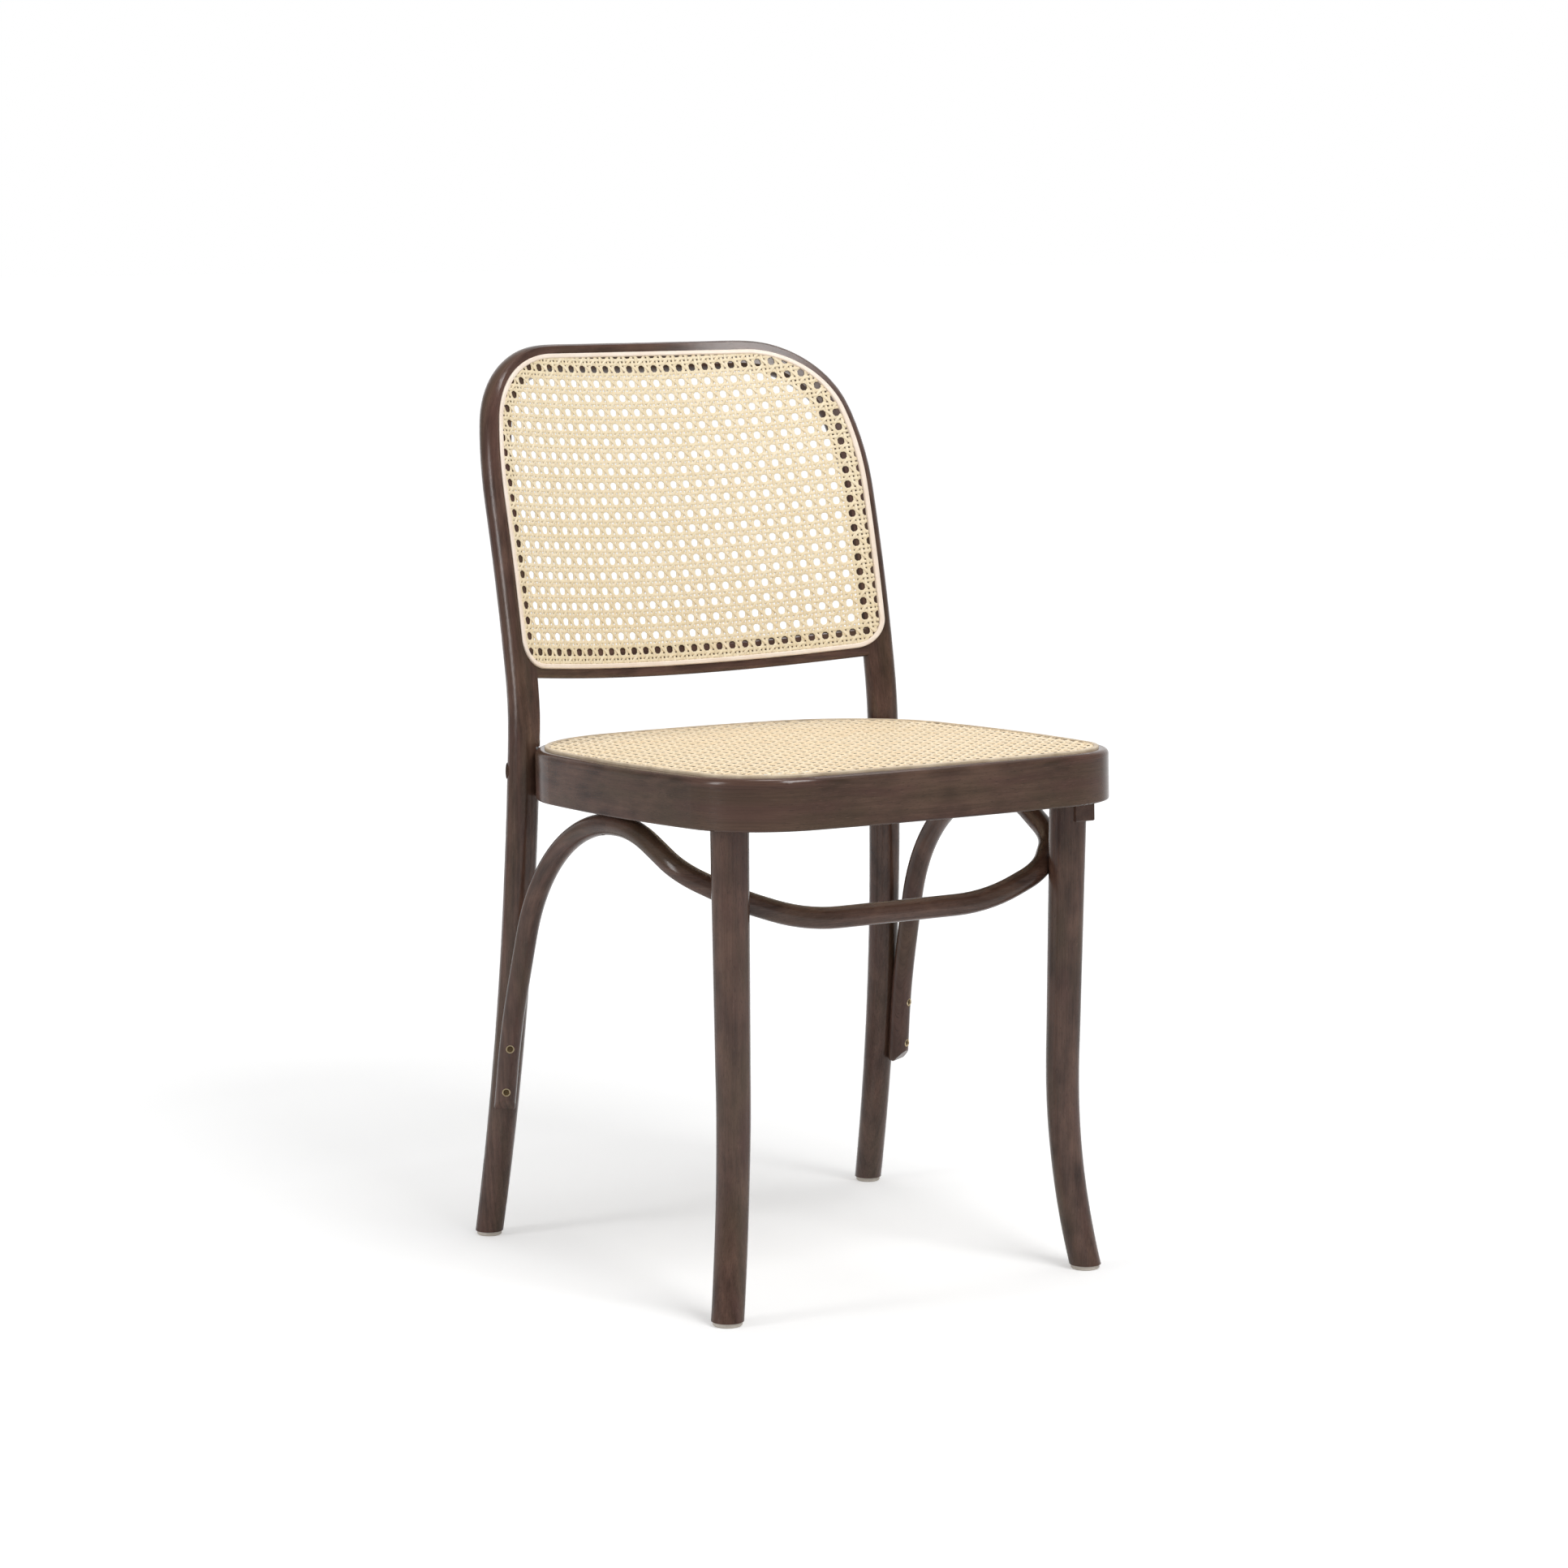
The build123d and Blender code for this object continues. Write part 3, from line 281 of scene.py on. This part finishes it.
def loop_grain(shading):
    """Fibres that run up the rear legs and round the arch."""
    x, y, z = shading.position()
    outward = outside_line(shading, x, z, *LOOP_LINE)
    rise = shading.math("MAXIMUM", shading.math("SUBTRACT", z, LOOP_LEAN_START), 0.0)
    upright = shading.math("SUBTRACT", y, shading.math("MULTIPLY", rise, LOOP_LEAN))
    depth = shading.math("ADD", upright, back_bow(shading, x))
    return outward, depth, shading.math("ADD", shading.math("ABSOLUTE", x), z)


def brace_grain(shading):
    """Fibres that run up the brace's rear arms, over its arches and round its front."""
    x, y, z = shading.position()
    plan = outside_line(shading, x, shading.math("MULTIPLY", y, -1.0), *BRACE_PLAN_LINE)
    arch = outside_line(shading, shading.math("SUBTRACT", y, BRACE_ARCH_MIDDLE), z, *BRACE_ARCH_LINE)
    rear = shading.math("GREATER_THAN", y, BRACE_ARCH_MIDDLE)
    across = shading.math("ADD", plan, shading.math("MULTIPLY", rear, arch))
    height = shading.math("MULTIPLY", z, shading.math("SUBTRACT", 1.0, rear))
    along = shading.math("ADD", shading.math("SUBTRACT", z, y), shading.math("ABSOLUTE", x))
    return across, height, along


# Materials


def stained_wood(name, grain, seed):
    """Dark stained beech under satin lacquer: bands, fibres, pores and short rays along the grain."""
    shading = new_shading(name)
    across, depth, along = grain(shading)

    def stretched(across_scale, along_scale):
        """The grain's place, drawn out along the fibres, with scales per metre."""
        return shading.vector(
            shading.math("MULTIPLY_ADD", across, across_scale, seed),
            shading.math("MULTIPLY", depth, across_scale),
            shading.math("MULTIPLY", along, along_scale),
        )

    drift = shading.noise(stretched(22.0, 5.0), 1.0, 3.0)
    band_place = shading.math("MULTIPLY_ADD", drift, 0.05, shading.math("ADD", across, depth))
    bands = shading.ramp(shading.math("SINE", shading.math("MULTIPLY", band_place, 620.0)), -1.0, 1.0)
    fibres = shading.noise(stretched(900.0, 16.0), 1.0, 3.0, 0.6)
    mottle = shading.noise(stretched(95.0, 22.0), 1.0, 3.0, 0.6)
    clouds = shading.noise(stretched(38.0, 24.0), 1.0, 2.0)
    pores = shading.ramp(shading.noise(stretched(2200.0, 190.0), 1.0, 1.0), 0.62, 0.72)
    rays = shading.ramp(shading.noise(stretched(1100.0, 120.0), 1.0, 1.0), 0.66, 0.74)
    olive = shading.noise(stretched(30.0, 7.0), 1.0, 2.0)
    red = shading.noise(stretched(41.0, 9.0), 1.3, 2.0)

    tone = shading.math("MULTIPLY_ADD", bands, 0.08, shading.math("MULTIPLY", fibres, 0.35))
    tone = shading.math("MULTIPLY_ADD", mottle, 0.50, tone)
    tone = shading.math("MULTIPLY_ADD", clouds, 0.60, tone)
    colour = shading.mix(shading.ramp(tone, 0.58, 0.95), WOOD_DARK, WOOD_PALE)
    colour = shading.mix(shading.ramp(olive, 0.48, 0.70, 0.0, 0.60), colour, WOOD_OLIVE)
    colour = shading.mix(shading.ramp(red, 0.52, 0.72, 0.0, 0.55), colour, WOOD_RED)
    colour = shading.mix(shading.math("MULTIPLY", rays, 0.28), colour, WOOD_RAY)
    colour = shading.mix(shading.math("MULTIPLY", pores, 0.50), colour, WOOD_PORE)
    relief = shading.math("MULTIPLY_ADD", pores, -0.7, fibres)
    return shading.surface(
        {
            "Base Color": colour,
            "Roughness": shading.ramp(shading.math("ADD", fibres, drift), 0.5, 1.5, 0.17, 0.27),
            "Normal": shading.bump(relief, 0.00003, 0.6),
            "Specular IOR Level": 0.48,
        }
    )


def cane_material(name, low, high):
    """Split rattan: tone from strand to strand, fine fibres, soft blotches, and painted shade that
    darkens each strand towards its edges.
    """
    shading = new_shading(name)
    strand = shading.add("ShaderNodeAttribute", attribute_name="strand").outputs["Fac"]
    strand_place = shading.add("ShaderNodeUVMap", uv_map="strand_map").outputs[0]
    across, along, _ = shading.add("ShaderNodeSeparateXYZ", {0: strand_place}).outputs
    shift = shading.math("MULTIPLY", strand, 37.0)

    def stretched(across_scale, along_scale):
        """The place on the strand, drawn out along it and another on each strand."""
        return shading.vector(
            shading.math("MULTIPLY", across, across_scale),
            shift,
            shading.math("MULTIPLY", along, along_scale),
        )

    fibres = shading.noise(stretched(7.0, 45.0), 1.0, 2.0)
    blotches = shading.noise(stretched(0.6, 70.0), 1.0, 2.0)
    # Painted shade: each strand is darkened towards its edges, where it meets the next.
    edge = shading.ramp(shading.math("ABSOLUTE", shading.math("SUBTRACT", across, 0.5)), 0.30, 0.50)
    colour = shading.mix(strand, low, high)
    colour = shading.mix(shading.ramp(blotches, 0.50, 0.75, 0.0, 0.35), colour, CANE_BLOTCH)
    colour = shading.mix(shading.ramp(fibres, 0.35, 0.75, 0.0, 0.25), colour, CANE_FIBRE)
    colour = shading.mix(shading.math("MULTIPLY", edge, 0.30), colour, CANE_EDGE_SHADE)
    return shading.surface(
        {
            "Base Color": colour,
            "Roughness": shading.ramp(fibres, 0.2, 0.8, 0.38, 0.55),
            "Normal": shading.bump(fibres, 0.00004, 0.5),
            "Specular IOR Level": 0.45,
        }
    )


def strip_material(name, low, high, fibre):
    """Round-edged rattan strip with soft mottling and fine fibres."""
    shading = new_shading(name)
    place = shading.place()
    mottle = shading.noise(place, 55.0, 3.0)
    fibres = shading.noise(place, 900.0, 2.0)
    colour = shading.mix(shading.ramp(mottle, 0.3, 0.7), low, high)
    colour = shading.mix(shading.ramp(fibres, 0.5, 0.8, 0.0, 0.22), colour, fibre)
    return shading.surface(
        {
            "Base Color": colour,
            "Roughness": shading.ramp(mottle, 0.3, 0.7, 0.36, 0.48),
            "Normal": shading.bump(fibres, 0.00004, 0.4),
        }
    )


def metal_material(name, low, high, rough):
    """Metal with tone and gloss that vary a little over the piece."""
    shading = new_shading(name)
    wear = shading.noise(shading.place(), 420.0, 3.0)
    return shading.surface(
        {
            "Base Color": shading.mix(shading.ramp(wear, 0.3, 0.7), low, high),
            "Roughness": shading.ramp(wear, 0.3, 0.7, rough - 0.06, rough + 0.08),
            "Normal": shading.bump(wear, 0.00002, 0.4),
            "Metallic": 1.0,
        }
    )


def glide_material():
    """Pale moulded plastic, matte and a little scuffed."""
    shading = new_shading("glide")
    scuffs = shading.noise(shading.place(), 260.0, 4.0, 0.65)
    return shading.surface(
        {
            "Base Color": shading.mix(shading.ramp(scuffs, 0.35, 0.7), GLIDE_DARK, GLIDE_PALE),
            "Roughness": shading.ramp(scuffs, 0.3, 0.7, 0.50, 0.64),
            "Normal": shading.bump(scuffs, 0.00003, 0.4),
        }
    )


def dowel_material():
    """Plain beech of the hidden dowels, with fibres along them."""
    shading = new_shading("dowel")
    x, y, z = shading.position()
    fibre_place = shading.vector(
        shading.math("MULTIPLY", x, 30.0),
        shading.math("MULTIPLY", y, 700.0),
        shading.math("MULTIPLY", z, 700.0),
    )
    fibres = shading.noise(fibre_place, 1.0, 3.0)
    return shading.surface(
        {
            "Base Color": shading.mix(shading.ramp(fibres, 0.3, 0.7), DOWEL_DARK, DOWEL_PALE),
            "Roughness": shading.ramp(fibres, 0.3, 0.7, 0.55, 0.68),
        }
    )


def dress(material, *names):
    """Gives CAD nodes a material in every slot."""
    for name in names:
        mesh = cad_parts[name].data
        mesh.materials.clear()
        mesh.materials.append(material)


dress(stained_wood("wood_loop", loop_grain, 0.0), "back_loop")
dress(stained_wood("wood_rail", level_grain, 3.1), "back_rail")
dress(stained_wood("wood_ring", ring_grain, 7.7), "seat_ring")
dress(stained_wood("wood_leg_left", upright_grain, 11.3), "front_leg_left")
dress(stained_wood("wood_leg_right", upright_grain, 15.9), "front_leg_right")
dress(stained_wood("wood_brace", brace_grain, 19.2), "brace")
dress(
    stained_wood("wood_blocks", level_grain, 23.6),
    "leg_head_block",
    "corner_block_left",
    "corner_block_right",
)
dress(
    strip_material(
        "strip_back", (0.87, 0.735, 0.615, 1.0), (0.95, 0.835, 0.725, 1.0), (0.76, 0.60, 0.47, 1.0)
    ),
    "back_spline",
)
# Painted shade: the seat's strip is the back's rattan made much darker, for the shade along the seat
# cane's edge seen at a grazing angle.
dress(
    strip_material(
        "strip_seat_shaded", (0.50, 0.39, 0.265, 1.0), (0.72, 0.60, 0.44, 1.0), (0.36, 0.27, 0.18, 1.0)
    ),
    "seat_spline",
)
dress(
    metal_material("brass", (0.60, 0.47, 0.28, 1.0), (0.80, 0.67, 0.45, 1.0), 0.32),
    "brace_screw_cups",
)
# The screw heads in the brass cups get a brass near black in tone.
dress(
    metal_material("dark_brass", (0.09, 0.062, 0.032, 1.0), (0.17, 0.12, 0.065, 1.0), 0.42),
    "brace_screws",
)
dress(
    metal_material("steel", (0.42, 0.41, 0.40, 1.0), (0.58, 0.57, 0.55, 1.0), 0.34),
    "seat_bolt_washers",
    "seat_bolt_nuts",
    "brace_seat_screws",
    "brace_leg_screws",
    "glide_nails",
)
dress(
    metal_material("dark_bronze", (0.075, 0.048, 0.038, 1.0), (0.105, 0.070, 0.055, 1.0), 0.50),
    "seat_bolts",
)
dress(glide_material(), "glide_front_left", "glide_front_right", "glide_rear_left", "glide_rear_right")
dress(dowel_material(), "rail_dowels")


# Woven cane: pairs of strands each way and single strands both ways across, over and under each other


def back_points(across, up, height):
    """Points at a length round the back's bow, a height up it and a height in front of it."""
    radius = BACK_BOW_RADIUS - height
    x = radius * np.sin(across / (BACK_BOW_RADIUS - BACK_CANE_HEIGHT))
    bow = np.sqrt(radius**2 - x**2) - (BACK_BOW_RADIUS - BACK_BOW)
    forward = np.sqrt((BACK_CURVE_RADIUS - bow) ** 2 - up**2) - BACK_CURVE_RADIUS
    y = BACK_MID[0] + up * sin(BACK_MID_LEAN) - forward * cos(BACK_MID_LEAN)
    z = BACK_MID[1] + up * cos(BACK_MID_LEAN) + forward * sin(BACK_MID_LEAN)
    return np.stack([x, y, z], axis=-1)


def seat_points(across, up, height):
    """Points over the seat ring's top, which falls to the rear."""
    rise = SEAT_RING_HEIGHT + height
    y = up * cos(SEAT_TILT) + rise * sin(SEAT_TILT)
    z = SEAT_BOTTOM - up * sin(SEAT_TILT) + rise * cos(SEAT_TILT)
    return np.stack([across, y, z], axis=-1)


def arc(centre, radius, start, end, count=24):
    """Points of an arc, from one heading to another, clockwise from straight up."""
    turn = np.linspace(start, end, count)
    return np.stack([centre[0] + radius * np.sin(turn), centre[1] + radius * np.cos(turn)], axis=-1)


def mirrored(right):
    """A closed outline from its right half, which runs down from the top."""
    return np.concatenate([right, right[::-1] * (-1, 1)])


def back_outline():
    """Edge of the back cane, as lengths round the bow and heights up the back."""
    heading = (0.0, *BACK_EDGE_TURNS, radians(90.0))
    top = np.array([0.0, BACK_EDGE_TOP])
    right = []
    for radius, start, end in zip(BACK_EDGE_RADII, heading, heading[1:]):
        centre = top - radius * np.array([sin(start), cos(start)])
        right.append(arc(centre, radius, start, end))
        top = right[-1][-1]
    foot = (top[0] - BACK_EDGE_BOTTOM_RADIUS, BACK_EDGE_BOTTOM + BACK_EDGE_BOTTOM_RADIUS)
    right.append(arc(foot, BACK_EDGE_BOTTOM_RADIUS, radians(90.0), radians(180.0)))
    outline = mirrored(np.concatenate(right))
    radius = BACK_BOW_RADIUS - BACK_CANE_HEIGHT
    outline[:, 0] = radius * np.arcsin(outline[:, 0] / radius)
    return outline


def bow_radius(half_chord, bow):
    """Radius of an arc from half its chord and its height."""
    return (half_chord**2 + bow**2) / (2 * bow)


def corner_middle(first, second, radius, near):
    """Middle, nearest to a point, of a round corner inside two arcs, each a middle and a radius."""
    reach, other_reach = first[1] - radius, second[1] - radius
    span = second[0] - first[0]
    length = hypot(*span)
    along = (reach**2 - other_reach**2 + length**2) / (2 * length)
    aside = np.array([-span[1], span[0]]) / length * np.sqrt(reach**2 - along**2)
    foot = first[0] + span * along / length
    return min((foot + aside, foot - aside), key=lambda middle: hypot(*(middle - near)))


def seat_outline():
    """Edge of the seat cane on the ring's top: bowed front, sides and rear, and round corners."""
    half_width = SEAT_CORNER_HALF_WIDTH
    corner_front, corner_rear = SEAT_FRONT + SEAT_FRONT_BOW, SEAT_REAR - SEAT_REAR_BOW
    front_radius = bow_radius(half_width, SEAT_FRONT_BOW)
    side_radius = bow_radius((corner_rear - corner_front) / 2, SEAT_SIDE_BOW)
    rear_radius = bow_radius(half_width, SEAT_REAR_BOW)
    front = np.array([0.0, SEAT_FRONT + front_radius])
    side = np.array([half_width + SEAT_SIDE_BOW - side_radius, (corner_front + corner_rear) / 2])
    rear = np.array([0.0, SEAT_REAR - rear_radius])
    front_corner = corner_middle(
        (side, side_radius), (front, front_radius), SEAT_FRONT_CORNER_RADIUS, (half_width, corner_front)
    )
    rear_corner = corner_middle(
        (rear, rear_radius), (side, side_radius), SEAT_REAR_CORNER_RADIUS, (half_width, corner_rear)
    )
    spans = (rear_corner - rear, rear_corner - side, front_corner - side, front_corner - front)
    turns = (0.0, *(atan2(*span) for span in spans), pi)
    middles = (rear, rear_corner, side, front_corner, front)
    radii = (rear_radius, SEAT_REAR_CORNER_RADIUS, side_radius, SEAT_FRONT_CORNER_RADIUS, front_radius)
    arcs = [
        arc(middle, radius - SEAT_EDGE_INSET, start, end)
        for middle, radius, start, end in zip(middles, radii, turns, turns[1:])
    ]
    return mirrored(np.concatenate(arcs))


def span_inside(outline, point, direction):
    """Where a line enters and leaves a convex outline, as lengths along it, or None where it misses."""
    ahead = np.roll(outline, -1, axis=0)
    side = (outline - point) @ np.array([-direction[1], direction[0]])
    side_ahead = (ahead - point) @ np.array([-direction[1], direction[0]])
    crossing = np.nonzero(side * side_ahead < 0)[0]
    if len(crossing) < 2:
        return None
    share = side[crossing] / (side[crossing] - side_ahead[crossing])
    hits = outline[crossing] + share[:, None] * (ahead[crossing] - outline[crossing])
    lengths = (hits - point) @ direction
    return lengths.min(), lengths.max()


def strand_lines(pitch, phase, outline):
    """Each strand's line as a point and a direction, and its height as a function of the place."""
    low, high = outline.min(axis=0), outline.max(axis=0)

    def turn(place, axis):
        return 2 * np.pi * (place[..., axis] - phase[axis]) / pitch[axis]

    def pair_wave(axis, sign):
        return lambda place: sign * PAIR_WAVE * np.sin(turn(place, 1 - axis))

    def diagonal_wave(slope):
        def wave(place):
            level = -slope * np.cos(turn(place, 0))
            return DIAGONAL_WAVE * level * (1.5 - 0.5 * level**2)

        return wave

    lines = []
    for axis in (0, 1):
        first = int((low[axis] - phase[axis]) / pitch[axis]) - 1
        last = int((high[axis] - phase[axis]) / pitch[axis]) + 1
        for hole in range(first, last + 1):
            for side in (-1, 1):
                point = np.zeros(2)
                point[axis] = phase[axis] + (hole + 0.5) * pitch[axis] + side * PAIR_HALF_GAP
                sign = -side if axis == 0 else side
                lines.append((point, np.eye(2)[1 - axis], pair_wave(axis, sign)))
    corners = [
        ((x - phase[0]) / pitch[0], (y - phase[1]) / pitch[1])
        for x in (low[0], high[0])
        for y in (low[1], high[1])
    ]
    for slope in (-1, 1):
        shares = [x + slope * y for x, y in corners]
        direction = np.array([pitch[0], -slope * pitch[1]])
        direction /= hypot(*direction)
        for hole in range(int(min(shares)) - 1, int(max(shares)) + 1):
            point = np.array([phase[0] + (hole + 0.5) * pitch[0], phase[1]])
            lines.append((point, direction, diagonal_wave(slope)))
    return lines


def strand_object(name, verts, faces, tones, maps):
    """A smooth mesh of quads, with a tone for each point and a map across and along the strands."""
    mesh = bpy.data.meshes.new(name)
    mesh.vertices.add(len(verts))
    mesh.vertices.foreach_set("co", verts.ravel())
    mesh.loops.add(faces.size)
    mesh.loops.foreach_set("vertex_index", faces.ravel())
    mesh.polygons.add(len(faces))
    mesh.polygons.foreach_set("loop_start", np.arange(0, faces.size, 4))
    mesh.polygons.foreach_set("use_smooth", np.ones(len(faces), dtype=bool))
    mesh.update(calc_edges=True)
    mesh.attributes.new("strand", "FLOAT", "POINT").data.foreach_set("value", tones)
    strand_map = mesh.uv_layers.new(name="strand_map")
    strand_map.data.foreach_set("uv", maps[faces.ravel()].ravel())
    panel = bpy.data.objects.new(name, mesh)
    bpy.context.scene.collection.objects.link(panel)
    return panel


def woven_panel(name, points, pitch, phase, outline, height, seed):
    """A panel of strands with crowned faces, which end under the strip at the panel's edge."""
    rng = np.random.default_rng(seed)
    section = np.array(STRAND_SECTION)
    corners = len(section)
    around = np.arange(corners)
    next_around = (around + 1) % corners
    verts, faces, tones, maps = [], [], [], []
    total = 0
    for point, direction, wave in strand_lines(pitch, phase, outline):
        span = span_inside(outline, point, direction)
        if span is None or span[1] - span[0] < pitch[0] * SHORTEST_STRAND_HOLES:
            continue
        count = max(LEAST_STEPS, round((span[1] - span[0]) / pitch[0] * STEPS_PER_HOLE))
        along = np.linspace(span[0] - TUCK, span[1] + TUCK, count)
        place = point + along[:, None] * direction
        width = STRAND_WIDTH * rng.uniform(*STRAND_WIDTH_SPREAD)
        aside = np.array([-direction[1], direction[0]]) * width
        level = height + wave(place)
        rows = []
        for shift, rise in section:
            edge = place + shift * aside
            rows.append(points(edge[:, 0], edge[:, 1], level + rise * STRAND_THICKNESS))
        verts.append(np.stack(rows, axis=1).reshape(-1, 3) * MM)
        step = np.arange(count - 1)[:, None] * corners + total
        quads = [step + around, step + next_around, step + corners + next_around, step + corners + around]
        faces.append(np.stack(quads, axis=-1).reshape(-1, 4))
        tones.append(np.full(count * corners, rng.uniform(0.0, 1.0)))
        flat = np.stack(np.broadcast_arrays(section[:, 0] + 0.5, along[:, None] * MM), axis=-1)
        maps.append(flat.reshape(-1, 2))
        total += count * corners
    return strand_object(name, *(np.concatenate(rows) for rows in (verts, faces, tones, maps)))


def lay(panel, node, material):
    """Puts a woven panel in the place of a CAD node."""
    panel.data.materials.append(material)
    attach(panel, "root")
    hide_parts(node)


lay(
    woven_panel(
        "back_weave", back_points, BACK_PITCH, BACK_PHASE, back_outline(), BACK_CANE_HEIGHT, BACK_SEED
    ),
    "back_cane",
    # Painted shade: the back's cane is the seat's cane made darker, against the stronger light on the
    # back's front.
    cane_material("cane_back_shaded", (0.81, 0.685, 0.46, 1.0), (0.89, 0.78, 0.575, 1.0)),
)
lay(
    woven_panel(
        "seat_weave", seat_points, SEAT_PITCH, SEAT_PHASE, seat_outline(), SEAT_CANE_HEIGHT, SEAT_SEED
    ),
    "seat_cane",
    # Painted light: the seat's cane is made lighter against the shade in its own weave, and yellower,
    # which is its own tint.
    cane_material("cane_seat_lightened", (0.95, 0.76, 0.505, 1.0), (0.99, 0.855, 0.64, 1.0)),
)


# Floor, light and camera


def backdrop_share(shading, path, facing):
    """How far a ray shows the white background: seen, through glass, or mirrored from the backdrop."""
    seen = shading.math("MAXIMUM", path["Is Camera Ray"], path["Is Transmission Ray"])
    backdrop = shading.ramp(facing, *BACKDROP_EDGE)
    return shading.math("MAXIMUM", seen, shading.math("MULTIPLY", path["Is Glossy Ray"], backdrop))


def floor_material():
    """Pale floor that keeps the object's shadow, and meets the white backdrop where it is far."""
    shading = new_shading("floor")
    x, y, _ = shading.position()
    away = shading.length(x, y)
    behind = shading.math(
        "MULTIPLY_ADD", x, BACKDROP_WAY[0], shading.math("MULTIPLY", y, BACKDROP_WAY[1])
    )
    path = shading.add("ShaderNodeLightPath").outputs
    share = backdrop_share(shading, path, shading.math("DIVIDE", behind, away))
    glow = shading.ramp(away, *FLOOR_GLOW_DISTANCES, *FLOOR_GLOW)
    matte = shading.add("ShaderNodeBsdfDiffuse", {"Color": FLOOR_GREY}).outputs[0]
    lift = shading.add("ShaderNodeEmission", {"Color": WHITE, "Strength": glow}).outputs[0]
    lit = shading.add("ShaderNodeAddShader", {0: matte, 1: lift}).outputs[0]
    return shading.close(shading.add("ShaderNodeMixShader", {0: share, 1: matte, 2: lit}))


def studio_world():
    """Plain light from all round, white where the background is seen."""
    shading = Shading(bpy.data.worlds.new("studio"), "ShaderNodeOutputWorld")
    way = shading.add("ShaderNodeTexCoord").outputs["Generated"]
    facing = shading.add("ShaderNodeVectorMath", {0: way, 1: BACKDROP_WAY}, operation="DOT_PRODUCT")
    path = shading.add("ShaderNodeLightPath").outputs
    share = backdrop_share(shading, path, facing.outputs["Value"])
    surround = shading.ramp(path["Is Glossy Ray"], 0.0, 1.0, SURROUND, MIRRORED_SURROUND)
    strength = shading.ramp(share, 0.0, 1.0, surround, BACKDROP_STRENGTH)
    return shading.close(shading.add("ShaderNodeBackground", {"Color": WHITE, "Strength": strength}))


def soft_light(name, place, target, size, power):
    """A rectangular lamp that faces a point, in metres and watts."""
    lamp = bpy.data.lights.new(name, "AREA")
    lamp.shape = "RECTANGLE"
    lamp.size, lamp.size_y = size
    lamp.energy = power
    light = bpy.data.objects.new(name, lamp)
    light.location = place
    light.rotation_euler = (Vector(target) - Vector(place)).to_track_quat("-Z", "Y").to_euler()
    bpy.context.scene.collection.objects.link(light)


floor_mesh = bpy.data.meshes.new("floor")
floor_mesh.from_pydata(
    [(x * FLOOR_REACH, y * FLOOR_REACH, 0.0) for x, y in ((-1, -1), (1, -1), (1, 1), (-1, 1))],
    [],
    [(0, 1, 2, 3)],
)
floor_mesh.materials.append(floor_material())
floor = bpy.data.objects.new("floor", floor_mesh)
bpy.context.scene.collection.objects.link(floor)

bpy.context.scene.world = studio_world()
soft_light("key", place=(0.25, -2.2, 2.95), target=(0.0, 0.0, 0.45), size=(1.4, 1.4), power=56.0)
soft_light("top", place=(0.0, 0.1, 3.2), target=(0.0, 0.0, 0.45), size=(0.8, 0.8), power=12.0)
soft_light("left", place=(-2.2, 0.1, 1.15), target=(0.0, 0.1, 1.0), size=(0.5, 1.3), power=12.5)
soft_light("right", place=(1.5, 0.1, 3.1), target=(0.0, 0.1, 0.7), size=(1.6, 0.3), power=6.0)

lens = bpy.data.cameras.new("camera")
lens.sensor_width = SENSOR_WIDTH
lens.lens = SENSOR_WIDTH * FOCAL_SHARE
camera = bpy.data.objects.new("camera", lens)
towards_camera = Vector(
    (
        sin(CAMERA_AZIMUTH) * cos(CAMERA_ELEVATION),
        -cos(CAMERA_AZIMUTH) * cos(CAMERA_ELEVATION),
        sin(CAMERA_ELEVATION),
    )
)
camera.location = (CAMERA_TARGET + towards_camera * CAMERA_DISTANCE) * MM
camera.rotation_euler = towards_camera.to_track_quat("Z", "Y").to_euler()
bpy.context.scene.collection.objects.link(camera)
bpy.context.scene.camera = camera
bpy.context.scene.view_settings.view_transform = "Standard"
